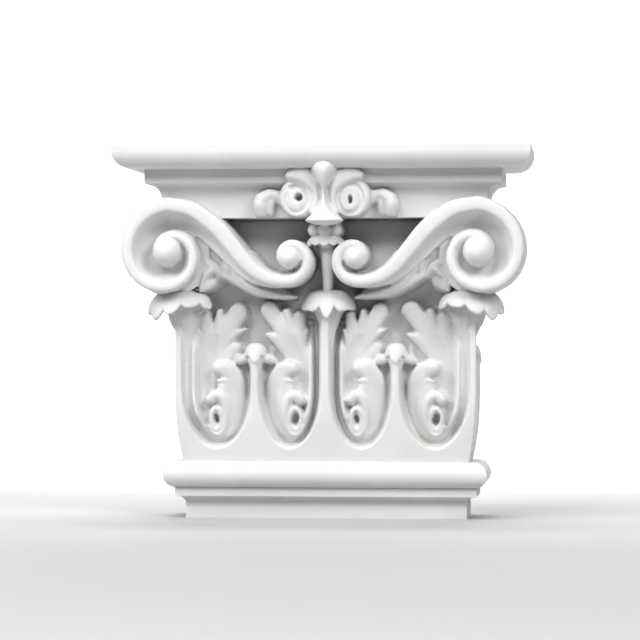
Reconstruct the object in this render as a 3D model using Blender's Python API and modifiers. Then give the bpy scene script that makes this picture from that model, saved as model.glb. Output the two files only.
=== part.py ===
"""Cast pilaster capital, modelled in metres with +Z up.

Design axes: a runs across a face, h is the height of the relief above that face of the shaft,
out is the distance out from the wall and z is the height above the underside. The front looks
towards -Y, and the flat back at +Y is the face that meets the wall.
"""

import math

import bmesh
import bpy
import numpy as np
from mathutils import Matrix, Vector

# Shaft that the capital continues
SHAFT_WIDTH = 0.2010
SHAFT_DEPTH = 0.0550

# Foot mouldings, from the underside up
BAND_HEIGHT = 0.0105
FOOT_COVE_HEIGHT = 0.0055
FILLET_HEIGHT = 0.0062
FILLET_OVERHANG = 0.0070
TORUS_HEIGHT = 0.0183
TORUS_OVERHANG = 0.0147

# Neck with its row of leaves, and the bell behind them
NECK_HEIGHT = 0.0875
NECK_OVERHANG = 0.0069
NECK_FOOT_OVERHANG = 0.0016
BELL_INSET = 0.0110
BELL_TOP_INSET = 0.0215
BELL_PLUMB = 0.1250
BELL_HEIGHT = 0.1730

# Abacus, from its underside up
LOWER_MEMBER_HEIGHT = 0.0140
LOWER_MEMBER_OVERHANG = 0.0152
ABACUS_COVE_HEIGHT = 0.0100
TIER_HEIGHT = 0.0102
TIER_OVERHANG = 0.0259
OVOLO_HEIGHT = 0.0118
OVOLO_FOOT_OVERHANG = 0.0330
OVOLO_OVERHANG = 0.0462
LIP_HEIGHT = 0.0045
EDGE_RADIUS = 0.0008

# Niches between the ribs, and the round-bottomed channel inside each one's edge
CORNER_RIB_SET = 0.0021
CENTRE_RIB_WIDTH = 0.0062
SHORT_RIB_WIDTH = 0.0050
WALL_RIB_WIDTH = 0.0073
NICHE_SILL = 0.0084
NICHE_CURVE_HEIGHT = 0.0460
CHANNEL_DEPTH = 0.0165

# Leaf tips: the short leaf's bud, and the hoods of the tall leaves
BUD_HEIGHT = 0.0845
BUD_RADIUS = 0.0081
BUD_SET = -0.0002
HOOD_RADIUS = 0.0192
CORNER_HOOD_RADIUS = 0.0228
CORNER_HOOD_SET = 0.0030
HOOD_TOP = 0.1225
MIDDLE_SET = 0.0022

# Scrolls
VOLUTE_REACH = 0.1428
VOLUTE_CENTRE = 0.0335
VOLUTE_DROP = 0.0260
VOLUTE_RADIUS = 0.0353
VOLUTE_FACE = 0.0330
SCROLL_OFFSET = 0.0230
SCROLL_DROP = 0.0286
SCROLL_FACE = 0.0285
EYE_RADIUS = 0.0104
SCROLL_EYE_RADIUS = 0.0078
BOLSTER_WAIST = 0.0185

# Flower on the abacus
ROSETTE_OFFSET = 0.0186
ROSETTE_RADIUS = 0.0138
BUD_OFFSET = 0.0458

# Lobes of half a tall leaf in each kind of niche, as strokes of (from the edge beside the tall
# leaf, above the neck's foot, half width), for a niche as wide as TALL_WIDTHS says
TALL_WIDTHS = {"slit": 0.04985, "round": 0.04465}
SLIT_LOBES = (
    (
        (0.0160, 0.0440, 0.0040),
        (0.0180, 0.0600, 0.0072),
        (0.0212, 0.0760, 0.0092),
        (0.0235, 0.0880, 0.0078),
    ),
    ((0.0165, 0.0720, 0.0045), (0.0137, 0.0860, 0.0024), (0.0106, 0.0942, 0.0009)),
    ((0.0180, 0.0800, 0.0060), (0.0174, 0.0930, 0.0050), (0.0163, 0.1036, 0.0038)),
    ((0.0215, 0.0850, 0.0040), (0.0250, 0.0980, 0.0034), (0.0268, 0.1064, 0.0025)),
    ((0.0240, 0.0780, 0.0060), (0.0310, 0.0930, 0.0064), (0.0397, 0.1062, 0.0066)),
    ((0.0260, 0.0790, 0.0050), (0.0345, 0.0895, 0.0040), (0.0448, 0.0944, 0.0008)),
    ((0.0240, 0.0680, 0.0060), (0.0330, 0.0770, 0.0056), (0.0385, 0.0815, 0.0036)),
)
ROUND_LOBES = (
    (
        (0.0145, 0.0440, 0.0040),
        (0.0160, 0.0600, 0.0070),
        (0.0186, 0.0760, 0.0088),
        (0.0206, 0.0880, 0.0076),
    ),
    ((0.0160, 0.0740, 0.0045), (0.0134, 0.0870, 0.0026), (0.0106, 0.0940, 0.0010)),
    ((0.0165, 0.0820, 0.0056), (0.0160, 0.0940, 0.0046), (0.0158, 0.1030, 0.0042)),
    ((0.0205, 0.0850, 0.0040), (0.0235, 0.0980, 0.0034), (0.0252, 0.1060, 0.0030)),
    ((0.0215, 0.0800, 0.0060), (0.0290, 0.0950, 0.0060), (0.0375, 0.1078, 0.0062)),
    ((0.0240, 0.0790, 0.0055), (0.0312, 0.0866, 0.0050), (0.0390, 0.0904, 0.0016)),
)
TALL_LOBES = {"slit": SLIT_LOBES, "round": ROUND_LOBES}

# Half a short leaf: the same kind of strokes, from the edge beside the short rib
SHORT_BODY = (
    (0.0240, 0.0663, 0.0046),
    (0.0180, 0.0650, 0.0061),
    (0.0122, 0.0580, 0.0063),
    (0.0097, 0.0460, 0.0046),
    (0.0100, 0.0350, 0.0044),
    (0.0140, 0.0245, 0.0043),
    (0.0210, 0.0196, 0.0040),
)
SHORT_TOOTH = ((0.0160, 0.0560, 0.0040), (0.0196, 0.0576, 0.0026), (0.0240, 0.0570, 0.0012))
CURL_BED = (
    (0.0190, 0.0520, 0.0060),
    (0.0185, 0.0420, 0.0076),
    (0.0200, 0.0300, 0.0080),
    (0.0230, 0.0240, 0.0050),
)
CURL_ARC = ((0.0254, 0.0330), (0.0068, 0.0142), (38, -235))
CURL_RING = ((0.0258, 0.0300), (0.0038, 0.0078), (-60, 300))
EYE = (0.0258, 0.0304)
EYE_HALVES = {"slit": (0.0017, 0.0038), "round": (0.0031, 0.0046)}

# Trumpets under the hoods: (above the hood's top, radius as a share of the hood's)
CORNER_STEM = (
    (-0.060, 0.10),
    (-0.048, 0.16),
    (-0.0355, 0.25),
    (-0.0285, 0.36),
    (-0.0236, 0.48),
    (-0.018, 0.55),
    (-0.011, 0.57),
    (-0.004, 0.56),
)
MIDDLE_STEM = (
    (-0.060, 0.10),
    (-0.042, 0.17),
    (-0.032, 0.24),
    (-0.025, 0.35),
    (-0.019, 0.48),
    (-0.011, 0.66),
    (-0.004, 0.66),
)

# Lobes of the hoods' rims, either side of the middle: (degrees, spread, degrees down, roundness),
# and how far each hood's dome would fall, as degrees from its middle and the falls there
CORNER_LOBES = (
    (0, 17, 94, 0.5),
    (35, 18, 92, 0.5),
    (71, 18, 92, 0.5),
    (108, 19, 94, 0.5),
)
CORNER_FALLS = ((0, 17, 35, 53, 71, 108, 180), (0.0196, 0.0186, 0.0162, 0.0138, 0.0118, 0.0128, 0.0150))
MIDDLE_LOBES = (
    (0, 19, 92, 1.0),
    (54, 35, 90, 0.35),
    (115, 26, 92, 0.5),
)
MIDDLE_FALLS = ((0, 19, 30, 50, 90, 180), (0.0192, 0.0180, 0.0165, 0.0138, 0.0152, 0.0160))
BUD_LOBES = (
    (0, 42, 92, 1.0),
    (80, 38, 84, 0.5),
)
BUD_FALLS = ((0, 40, 90, 180), (0.0136, 0.0118, 0.0104, 0.0104))
FRILL_LOBES = (
    (0, 15, 90, 0.6),
    (30, 15, 86, 0.6),
    (60, 15, 92, 0.6),
    (90, 15, 86, 0.6),
    (120, 15, 90, 0.6),
    (150, 15, 86, 0.6),
    (180, 15, 90, 0.6),
)
FRILL_FALLS = ((0, 180), (0.0084, 0.0080))

# Flap over each rolled petal: a stroke of (from the flower's middle, above the abacus's
# underside, half width)
FLAP = (
    (0.0224, 0.0317, 0.0028),
    (0.0158, 0.0299, 0.0046),
    (0.0098, 0.0262, 0.0045),
    (0.0063, 0.0190, 0.0026),
    (0.0060, 0.0110, 0.0022),
    (0.0084, 0.0036, 0.0018),
)

# Mesh making
BACK_SPARE = 0.0060
GRID = 0.0014
VOXEL = 0.0014
CARVING_TRIANGLES = 8500
THINNER = (1.0, 0.98, 0.96, 0.94, 0.92, 0.90)
ARC_STEPS = 6

# Worked out from the sizes above
NECK_FOOT = BAND_HEIGHT + FOOT_COVE_HEIGHT + FILLET_HEIGHT + TORUS_HEIGHT
NECK_TOP = NECK_FOOT + NECK_HEIGHT
ABACUS_FOOT = NECK_FOOT + BELL_HEIGHT
TIER_FOOT = ABACUS_FOOT + LOWER_MEMBER_HEIGHT + ABACUS_COVE_HEIGHT
OVOLO_FOOT = TIER_FOOT + TIER_HEIGHT
TOTAL_HEIGHT = OVOLO_FOOT + OVOLO_HEIGHT + LIP_HEIGHT
TOTAL_DEPTH = SHAFT_DEPTH + OVOLO_OVERHANG
WALL_Y = TOTAL_DEPTH / 2
HALF_SHAFT = SHAFT_WIDTH / 2


def front(a, h, z):
    """A point of the front face."""
    return Vector((a, WALL_Y - SHAFT_DEPTH - h, z))


def side_face(sign):
    """The face on one side: a is 0 at the front corner and falls towards the wall."""
    return lambda a, h, z: Vector((sign * (HALF_SHAFT + h), WALL_Y - SHAFT_DEPTH - a, z))


def mirrored(place, sign):
    return lambda a, h, z: place(sign * a, h, z)


def smooth_rows(rows, steps):
    """Rows of values read from a smooth curve through the given rows."""
    rows = np.array(rows, float)
    ends = np.vstack([2 * rows[0] - rows[1], rows, 2 * rows[-1] - rows[-2]])
    found = []
    for i in range(len(rows) - 1):
        p0, p1, p2, p3 = ends[i : i + 4]
        for t in np.arange(steps) / steps:
            found.append(
                0.5
                * (
                    2 * p1
                    + (p2 - p0) * t
                    + (2 * p0 - 5 * p1 + 4 * p2 - p3) * t * t
                    + (3 * p1 - p0 - 3 * p2 + p3) * t**3
                )
            )
    return np.array(found + [rows[-1]])


def loft(bm, rings):
    """A closed skin over rings that have as many points each."""
    made = [[bm.verts.new(point) for point in ring] for ring in rings]
    count = len(made[0])
    for low, high in zip(made, made[1:]):
        for i in range(count):
            bm.faces.new((low[i], low[(i + 1) % count], high[(i + 1) % count], high[i]))
    bm.faces.new(made[0][::-1])
    bm.faces.new(made[-1])


def petal(bm, place, rows, root=-0.014, dish=0.0008, drop=0.0025, steps=3):
    """A leaf lobe on a face: rows of (a, z, h, half width) along its middle."""
    path = smooth_rows(rows, steps)
    flat = path[:, :2]
    along = np.gradient(flat, axis=0)
    along /= np.linalg.norm(along, axis=1)[:, None]
    across = np.stack([along[:, 1], -along[:, 0]], axis=1)
    rings = []
    for (a, z, h, half), (da, dz) in zip(path, across):
        half = max(half, 0.0004)
        ring = []
        for u in np.linspace(-1, 1, 9):
            height = h - drop * abs(u) ** 4 - dish * (1 - u * u)
            ring.append(place(a + da * half * u, height, z + dz * half * u))
        ring.append(place(a + da * half, root, z + dz * half))
        ring.append(place(a - da * half, root, z - dz * half))
        rings.append(ring)
    loft(bm, rings)


def turned(bm, to_space, levels, sides=16, folds=0, depth=0.0):
    """A body turned about an axis: levels of (place along it, radius u, radius v)."""
    rings = []
    for s, ru, rv in levels:
        ring = []
        for k in range(sides):
            angle = 2 * math.pi * k / sides
            swell = 1 + depth * math.cos(folds * angle)
            ring.append(to_space(s, ru * swell * math.sin(angle), rv * swell * math.cos(angle)))
        rings.append(ring)
    loft(bm, rings)


def ball(bm, centre, radii, segments=16, rings=10):
    shape = Matrix.Translation(centre) @ Matrix.Diagonal((*radii, 1.0))
    bmesh.ops.create_uvsphere(bm, u_segments=segments, v_segments=rings, radius=1.0, matrix=shape)


def arc(start, end, hollow, steps):
    """Quarter of an ellipse between two profile points, bulging or hollow, without its start."""
    (e0, z0), (e1, z1) = start, end
    points = []
    for i in range(1, steps + 1):
        t = i / steps * math.pi / 2
        if hollow:
            points.append((e0 + (e1 - e0) * math.sin(t), z0 + (z1 - z0) * (1 - math.cos(t))))
        else:
            points.append((e0 + (e1 - e0) * (1 - math.cos(t)), z0 + (z1 - z0) * math.sin(t)))
    return points


def stack(bm, profile, back=-BACK_SPARE):
    """Mitred mouldings on the front and both sides: a profile of (overhang, z)."""
    rings = []
    for overhang, z in profile:
        x = HALF_SHAFT + overhang
        y = WALL_Y - SHAFT_DEPTH - overhang
        rings.append(((-x, WALL_Y - back, z), (-x, y, z), (x, y, z), (x, WALL_Y - back, z)))
    loft(bm, rings)


def foot_profile():
    cove_top = (FILLET_OVERHANG, BAND_HEIGHT + FOOT_COVE_HEIGHT)
    fillet_top = cove_top[1] + FILLET_HEIGHT
    half_torus = TORUS_HEIGHT / 2
    inner = TORUS_OVERHANG - half_torus
    profile = [(0.0, 0.0), (0.0, BAND_HEIGHT)]
    profile += arc(profile[-1], cove_top, False, ARC_STEPS)
    profile.append((FILLET_OVERHANG, fillet_top))
    steps = 2 * ARC_STEPS
    for i in range(steps + 1):
        angle = -math.pi / 2 + math.pi * i / steps
        reach = inner + half_torus * math.cos(angle)
        profile.append((reach, fillet_top + half_torus * (1 + math.sin(angle))))
    return profile


def abacus_profile():
    lower_top = ABACUS_FOOT + LOWER_MEMBER_HEIGHT
    profile = [(LOWER_MEMBER_OVERHANG, ABACUS_FOOT), (LOWER_MEMBER_OVERHANG, lower_top)]
    profile += arc(profile[-1], (TIER_OVERHANG - EDGE_RADIUS, TIER_FOOT), False, ARC_STEPS)
    profile.append((TIER_OVERHANG, TIER_FOOT + EDGE_RADIUS))
    profile.append((TIER_OVERHANG, OVOLO_FOOT))
    foot = (OVOLO_FOOT_OVERHANG, OVOLO_FOOT)
    profile.append(foot)
    profile += arc(foot, (OVOLO_OVERHANG, OVOLO_FOOT + OVOLO_HEIGHT), True, ARC_STEPS)
    profile.append((OVOLO_OVERHANG, TOTAL_HEIGHT - EDGE_RADIUS))
    profile.append((OVOLO_OVERHANG - EDGE_RADIUS, TOTAL_HEIGHT))
    return profile


def body_profile():
    """Foot, bell and abacus in one."""
    lean = NECK_FOOT + BELL_PLUMB
    bell = [(-BELL_INSET, NECK_FOOT), (-BELL_INSET, lean)]
    bell += arc(bell[-1], (-BELL_TOP_INSET, ABACUS_FOOT), False, ARC_STEPS)
    return foot_profile() + bell + abacus_profile()


def niches(sign=None):
    """Niches as (edge beside the tall leaf, direction across, width, kind of leaves)."""
    outer = HALF_SHAFT / 2 + CORNER_RIB_SET - SHORT_RIB_WIDTH / 2
    inner = HALF_SHAFT / 2 - (CENTRE_RIB_WIDTH + SHORT_RIB_WIDTH) / 2
    deep = SHAFT_DEPTH + CORNER_RIB_SET - WALL_RIB_WIDTH
    corner = HALF_SHAFT + CORNER_RIB_SET
    centre = CENTRE_RIB_WIDTH / 2
    if sign:
        return [(CORNER_RIB_SET, -1, deep, "slit")]
    left = [(-corner, 1, outer, "slit"), (-centre, -1, inner, "round")]
    return left + [(centre, 1, inner, "slit"), (corner, -1, outer, "round")]


def soft_max(first, second, blend):
    """The higher of two reliefs with a fillet where they meet."""
    share = np.clip(0.5 + (first - second) / (2 * blend), 0.0, 1.0)
    return second + (first - second) * share + blend * share * (1 - share)


def smooth_step(value, low, high):
    t = np.clip((value - low) / (high - low), 0.0, 1.0)
    return t * t * (3 - 2 * t)


def oval_rows(centre, radii, turns, first, last, count=10):
    """Rows along part of an oval: turns in degrees from its top, values running from first to last."""
    rows = []
    for share in np.linspace(0.0, 1.0, count):
        angle = math.radians(turns[0] + (turns[1] - turns[0]) * share)
        spot = (centre[0] + radii[0] * math.sin(angle), centre[1] + radii[1] * math.cos(angle))
        rows.append(spot + tuple(a + (b - a) * share for a, b in zip(first, last)))
    return rows


def stroke_depth(across, up, rows, steps=5):
    """Distance inside a stroke that follows rows of (a, z, half width), negative outside it."""
    depth = np.full(across.shape, -1.0)
    for a, z, half in smooth_rows(rows, steps):
        depth = np.maximum(depth, half - np.hypot(across - a, up - z))
    return depth


def pillow(depth, edge, crown):
    """Rounded edge of a carved shape: level inside, and falling away outside its outline."""
    t = np.clip(depth / edge, 0.0, 1.0)
    return crown * (np.sqrt(1 - (1 - t) ** 2) - 1) - 10.0 * np.maximum(-depth, 0.0)


def groove(across, up, rows, steps=4):
    """Depth of a rounded groove that follows rows of (a, z, depth, half width)."""
    cut = np.zeros(across.shape)
    for a, z, deep, half in smooth_rows(rows, steps):
        reach = np.hypot(across - a, up - z) / half
        cut = np.maximum(cut, deep * np.clip(1 - reach * reach, 0.0, 1.0))
    return cut


def bump(across, up, rows, drop=0.0018, steps=5):
    """Relief of a rounded lobe that follows rows of (a, z, h, half width)."""
    top = np.full(across.shape, -0.1)
    for a, z, h, half in smooth_rows(rows, steps):
        reach = np.hypot(across - a, up - z)
        fall = drop * (reach / half) ** 2 + 7.0 * np.maximum(reach - half, 0.0)
        top = np.maximum(top, h - fall)
    return top


def face_height(up):
    """Overhang of the neck's own face, hollow at its foot and plumb above."""
    t = np.clip((up - NECK_FOOT) / (0.62 * NECK_HEIGHT), 0.0, 1.0)
    return NECK_FOOT_OVERHANG + (NECK_OVERHANG - NECK_FOOT_OVERHANG) * (1 - (1 - t) ** 2.6)


def niche_depth(across, up, width):
    """Distance inside a niche's edge, negative outside it."""
    sill = NECK_FOOT + NICHE_SILL
    middle = width / 2
    curve = lambda t: middle * np.sqrt(1 - (1 - np.clip(t, 0.0, 1.0)) ** 2.2)
    t = np.linspace(0.0, 1.0, 48) ** 2
    rise = sill + NICHE_CURVE_HEIGHT * np.linspace(1.0, 2.6, 30)
    side = np.concatenate([curve(t), np.full(30, middle)])
    level = np.concatenate([sill + NICHE_CURVE_HEIGHT * t, rise])
    nearest = np.full(across.shape, 1.0)
    for a, z in zip(side, level):
        nearest = np.minimum(nearest, np.hypot(np.abs(across - middle) - a, up - z))
    inside = np.abs(across - middle) < curve((up - sill) / NICHE_CURVE_HEIGHT)
    return np.where(inside & (up > sill), nearest, -nearest)


def niche_wall(depth, across, up, width, crest):
    """Edge, channel, leaf margin and hollow of a niche, read off by distance from its edge."""
    top = NECK_OVERHANG
    low = top - CHANNEL_DEPTH
    rows = (
        (-0.0012, 0.0002),
        (-0.0002, -0.0003),
        (0.0006, -0.0016),
        (0.0014, -0.0050),
        (0.0023, 0.0050 - CHANNEL_DEPTH),
        (0.0032, 0.0016 - CHANNEL_DEPTH),
        (0.0044, 0.0002 - CHANNEL_DEPTH),
        (0.0070, -CHANNEL_DEPTH),
        (0.0200, -CHANNEL_DEPTH),
    )
    table = smooth_rows(rows, 4)
    height = top + np.interp(depth, table[:, 0], table[:, 1])
    margin = (
        (0.0048, 0.0),
        (0.0055, 0.0030),
        (0.0063, 0.0080),
        (0.0074, 0.0102),
        (0.0088, 0.0100),
        (0.0100, 0.0080),
        (0.0109, 0.0048),
        (0.0122, 0.0030),
        (0.0200, 0.0024),
    )
    table = smooth_rows(margin, 4)
    share = smooth_step(width / 2 - across, -0.002, 0.012) * smooth_step(up - NECK_FOOT, 0.016, 0.036)
    height = height + (0.30 + (crest - 0.30) * share) * np.interp(depth, table[:, 0], table[:, 1])
    open_above = smooth_step(up, NECK_FOOT + 0.077, NECK_FOOT + 0.095)
    height = height - 0.0095 * open_above * smooth_step(depth, 0.0020, 0.0060)
    return np.where(depth > -0.0011, height, 0.05)


def tall_frond(across, up, width, kind):
    """Half of a tall leaf: across counts from the edge beside the tall leaf."""
    a = across * TALL_WIDTHS[kind] / width
    z = up - NECK_FOOT
    levels = (0.045, 0.062, 0.080, 0.095, 0.110)
    face = np.interp(z, levels, (-0.0044, -0.0028, -0.0004, 0.0020, 0.0044))
    relief = np.full(a.shape, -0.1)
    for lobe in TALL_LOBES[kind]:
        relief = soft_max(relief, face + pillow(stroke_depth(a, z, lobe), 0.0046, 0.0034), 0.0003)
    hollow = [(0.0150, 0.0480, 0.0022, 0.0056), (0.0168, 0.0640, 0.0026, 0.0066)]
    hollow += [(0.0196, 0.0780, 0.0020, 0.0060), (0.0230, 0.0880, 0.0008, 0.0040)]
    return relief - groove(a, z, hollow)


def short_frond(across, up, kind):
    """Half of a short leaf with its curl: across counts from the edge beside the short rib."""
    z = up - NECK_FOOT
    levels = (0.018, 0.030, 0.045, 0.058, 0.070)
    low = np.interp(z, levels, (-0.0036, -0.0018, 0.0010, 0.0040, 0.0062))
    high = np.interp(z, levels, (-0.0008, 0.0016, 0.0046, 0.0062, 0.0066))
    low = low - 0.30 * np.maximum(0.0190 - across, 0.0)
    relief = low + pillow(stroke_depth(across, z, SHORT_BODY), 0.0046, 0.0036)
    relief = soft_max(relief, low + pillow(stroke_depth(across, z, SHORT_TOOTH), 0.0030, 0.0026), 0.0003)
    bed = 0.4 * low + 0.6 * high + pillow(stroke_depth(across, z, CURL_BED), 0.0040, 0.0030)
    relief = soft_max(relief, bed - 0.0018, 0.0004)
    arc_rows = oval_rows(*CURL_ARC, (0.0038,), (0.0017,), 14)
    ring_rows = oval_rows(*CURL_RING, (0.0022,), (0.0018,), 14)
    for rows in (arc_rows, ring_rows):
        relief = soft_max(relief, high + pillow(stroke_depth(across, z, rows, 3), 0.0034, 0.0034), 0.0003)
    wide, tall = EYE_HALVES[kind]
    lean = across - EYE[0] - 0.25 * (z - EYE[1])
    inside = (lean / wide) ** 2 + ((z - EYE[1]) / tall) ** 2
    return relief - 0.0080 * np.clip(1 - inside, 0.0, 1.0) ** 0.6


def neck_relief(across, up, sign=None):
    """Height of the neck over the shaft's face, with its ribs, niches and leaves."""
    relief = face_height(up)
    leaves = np.full(across.shape, -0.1)
    for edge, way, width, kind in niches(sign):
        local = (across - edge) * way
        depth = niche_depth(local, up, width)
        crest = 1.35 if sign or abs(edge) > HALF_SHAFT else 1.0
        relief = np.minimum(relief, niche_wall(depth, local, up, width, crest))
        beyond = 2.5 * np.maximum(-local, 0.0) + 2.5 * np.maximum(local - width - 0.003, 0.0)
        leaves = soft_max(leaves, tall_frond(local, up, width, kind) - beyond, 0.0009)
        leaves = soft_max(leaves, short_frond(width - local, up, kind) - beyond, 0.0009)
        stub = np.abs(local - width - SHORT_RIB_WIDTH / 2) < 0.008
        fall = 0.02 * smooth_step(up, NECK_FOOT + BUD_HEIGHT - 0.008, NECK_FOOT + BUD_HEIGHT)
        relief = np.where(stub, relief - fall, relief)
    relief = relief - 0.02 * smooth_step(up, NECK_FOOT + 0.100, NECK_FOOT + 0.108)
    return soft_max(relief, leaves, 0.0008)


def neck_side(bm, place, low, high, mitred, sign=None):
    """A face of the neck as a loft of its cross sections, mitred to its neighbours."""
    rings = []
    root = -0.016
    levels = np.arange(NECK_FOOT - 0.003, NECK_FOOT + 0.118, GRID)
    count = int((high - low) / GRID)
    for z in levels:
        face = float(face_height(z))
        trim = NECK_OVERHANG - face
        start = low + (trim if mitred[0] else 0.0)
        end = high - (trim if mitred[1] else 0.0)
        across = np.linspace(start, end, count)
        heights = np.maximum(neck_relief(across, np.full(count, z), sign), root + 0.0004)
        ring = [place(a, h, z) for a, h in zip(across, heights)]
        inset = face - root - 0.0008
        ring.append(place(end - (inset if mitred[1] else 0.0), root, z))
        ring.append(place(start + (inset if mitred[0] else 0.0), root, z))
        rings.append(ring)
    loft(bm, rings)


def neck(bm):
    corner = HALF_SHAFT + NECK_OVERHANG
    neck_side(bm, front, -corner, corner, (True, True))
    for sign in (-1, 1):
        neck_side(bm, side_face(sign), -SHAFT_DEPTH - BACK_SPARE, NECK_OVERHANG, (False, True), sign)


def rim_end(turn, lobes, notch):
    """Degrees down the dome where a hood's rim ends: lobes of (degrees, spread, end, roundness)."""
    end = notch
    for middle, spread, low, roundness in lobes:
        t = abs(abs(turn) - middle) / spread
        if t < 1:
            end = max(end, notch + (low - notch) * (1 - t * t) ** roundness)
    return end


def hood(bm, spot, facing, radius, falls, lobes, notch):
    """A leaf tip that curls over: a thick dome cut to a rim of lobes, with its depth by degrees."""
    sides = 72
    thick = 0.14 * radius + 0.0006
    rings = []

    def ring(share, inset, past):
        points = []
        for k in range(sides):
            turn = -180 + 360 * k / sides
            end = rim_end(turn, lobes, notch)
            bend = math.radians(end * share + past)
            fall = float(np.interp(abs(turn), *falls))
            puff = 1 + 0.06 * share**3 * (end - notch) / (90 - notch)
            away = (radius * puff - inset) * math.sin(bend) ** 0.55
            drop = inset + (fall - inset) * (1 - math.cos(bend))
            angle = math.radians(facing + turn)
            points.append(spot + Vector((away * math.sin(angle), -away * math.cos(angle), -drop)))
        rings.append(points)

    for share in (0.02, 0.1, 0.2, 0.32, 0.44, 0.56, 0.68, 0.78, 0.87, 0.94, 1.0):
        ring(share, 0.0, 0.0)
    ring(1.0, 0.25 * thick, 4.0)
    ring(1.0, 0.60 * thick, 4.5)
    for share in (1.0, 0.9, 0.78, 0.64, 0.5, 0.3, 0.02):
        ring(share, thick, 0.0)
    loft(bm, rings)


def leaf_stem(bm, spot, reach, shape):
    """The trumpet under a hood, fluted on its way up from the rib."""
    rows = smooth_rows([(s, reach * r, reach * r) for s, r in shape], 3)
    turned(bm, lambda s, u, v: spot + Vector((u, -v, s)), rows, sides=48, folds=12, depth=0.05)


def short_bud(bm, place, a, facing):
    """The short leaf's tip: a dome with a pointed lip, and a drooping flap at each side."""
    top = NECK_FOOT + BUD_HEIGHT
    spot = place(a, BUD_SET, top)
    hood(bm, spot, facing, BUD_RADIUS, BUD_FALLS, BUD_LOBES, 64)
    leaf_stem(bm, spot, BUD_RADIUS * 1.05, MIDDLE_STEM)
    for side in (-1, 1):
        flap = [
            (a + side * 0.0030, top - 0.0106, BUD_SET + 0.0026, 0.0026),
            (a + side * 0.0078, top - 0.0110, BUD_SET + 0.0026, 0.0034),
            (a + side * 0.0120, top - 0.0124, BUD_SET + 0.0012, 0.0034),
            (a + side * 0.0152, top - 0.0140, BUD_SET - 0.0012, 0.0016),
        ]
        petal(bm, place, flap, root=-0.012, dish=-0.0006, drop=0.0026)


def tall_tips(bm):
    top = NECK_FOOT + HOOD_TOP
    spot = front(MIDDLE_SET, -0.0010, top)
    leaf_stem(bm, spot, HOOD_RADIUS, MIDDLE_STEM)
    hood(bm, spot, 0, HOOD_RADIUS, MIDDLE_FALLS, MIDDLE_LOBES, 56)
    for sign in (-1, 1):
        stem = front(sign * (HALF_SHAFT + 0.0004), -0.0024, top)
        leaf_stem(bm, stem, CORNER_HOOD_RADIUS, CORNER_STEM)
        spot = front(sign * (HALF_SHAFT + CORNER_HOOD_SET), CORNER_HOOD_SET - 0.0010, top)
        hood(bm, spot, sign * 45, CORNER_HOOD_RADIUS, CORNER_FALLS, CORNER_LOBES, 64)


def scroll_rows():
    """Middle line of the scroll band: rows of (a, z, h, half width, channel)."""
    a0 = VOLUTE_REACH - VOLUTE_CENTRE
    z0 = ABACUS_FOOT - VOLUTE_DROP
    rows = []
    for turn in range(470, -1, -10):
        shrink = 1 - 0.45 * (max(turn - 270, 0) / 180) ** 1.5
        r = VOLUTE_RADIUS * 0.806 ** (turn / 90) * shrink
        angle = math.radians(turn)
        share = max(1 - turn / 450, 0.0)
        half = 0.0024 + 0.0024 * share**1.6
        channel = 0.0024 + 0.0082 * min(share / 0.6, 1.0) ** 1.5
        rows.append((a0 + r * math.sin(angle), z0 + r * math.cos(angle), VOLUTE_FACE, half, channel))
    a1, z1 = SCROLL_OFFSET, ABACUS_FOOT - SCROLL_DROP
    bridge = (
        rows[-1],
        (a0 - 0.0155, z0 + 0.0324, VOLUTE_FACE, 0.0051, 0.0100),
        (a0 - 0.0256, z0 + 0.0266, VOLUTE_FACE - 0.0002, 0.0054, 0.0095),
        (a0 - 0.0362, z0 + 0.0178, VOLUTE_FACE - 0.0006, 0.0056, 0.0085),
        (a0 - 0.0470, z0 + 0.0050, VOLUTE_FACE - 0.0014, 0.0053, 0.0070),
        (a0 - 0.0592, z0 - 0.0094, VOLUTE_FACE - 0.0026, 0.0047, 0.0045),
        (a0 - 0.0700, z0 - 0.0164, VOLUTE_FACE - 0.0036, 0.0041, 0.0020),
        (a1 + 0.0060, z1 - 0.0162, SCROLL_FACE + 0.0002, 0.0036, 0.0010),
    )
    rows += [tuple(row) for row in smooth_rows(bridge, 6)[1:-1]]
    for turn in range(-15, 311, 15):
        r = 0.0161 * 0.752 ** (turn / 90) * (1 - 0.16 * max(turn - 180, 0) / 90)
        angle = math.radians(turn)
        half = 0.0034 - 0.0012 * max(turn, 0) / 270
        rows.append((a1 - r * math.sin(angle), z1 - r * math.cos(angle), SCROLL_FACE, half, 0.0008))
    return rows


def scroll_band(bm, place):
    """The S-shaped band with a flat rim and, inside the big turn, a dished channel."""
    path = smooth_rows(scroll_rows(), 1)
    flat = path[:, :2]
    along = np.gradient(flat, axis=0)
    along /= np.linalg.norm(along, axis=1)[:, None]
    rings = []
    for (a, z, h, half, channel), (ta, tz) in zip(path, along):
        outer = np.array((tz, -ta))
        depth = 1.25 * channel
        back = -0.012
        flare = 0.0030 if channel < 0.0060 else 0.0004
        section = [
            (half + 0.0006 + flare, back),
            (half + 0.0004 + 0.5 * flare, h - 0.0100),
            (half + 0.0001, h - 0.0022),
            (half - 0.0006, h - 0.0007),
            (half - 0.0020, h),
            (0.0, h + 0.0002),
            (-half + 0.0020, h),
            (-half + 0.0006, h - 0.0006),
        ]
        for s in (0.08, 0.25, 0.5, 0.75, 1.0):
            fall = depth * (1 - (1 - s) ** 2.2)
            section.append((-half - channel * s, h - 0.0010 - fall))
        section.append((-half - channel - 0.0004, h - 0.0016 - depth))
        section.append((-half - channel - 0.0004, back))
        rings.append([place(a + n * outer[0], up, z + n * outer[1]) for n, up in section])
    loft(bm, rings)


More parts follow.
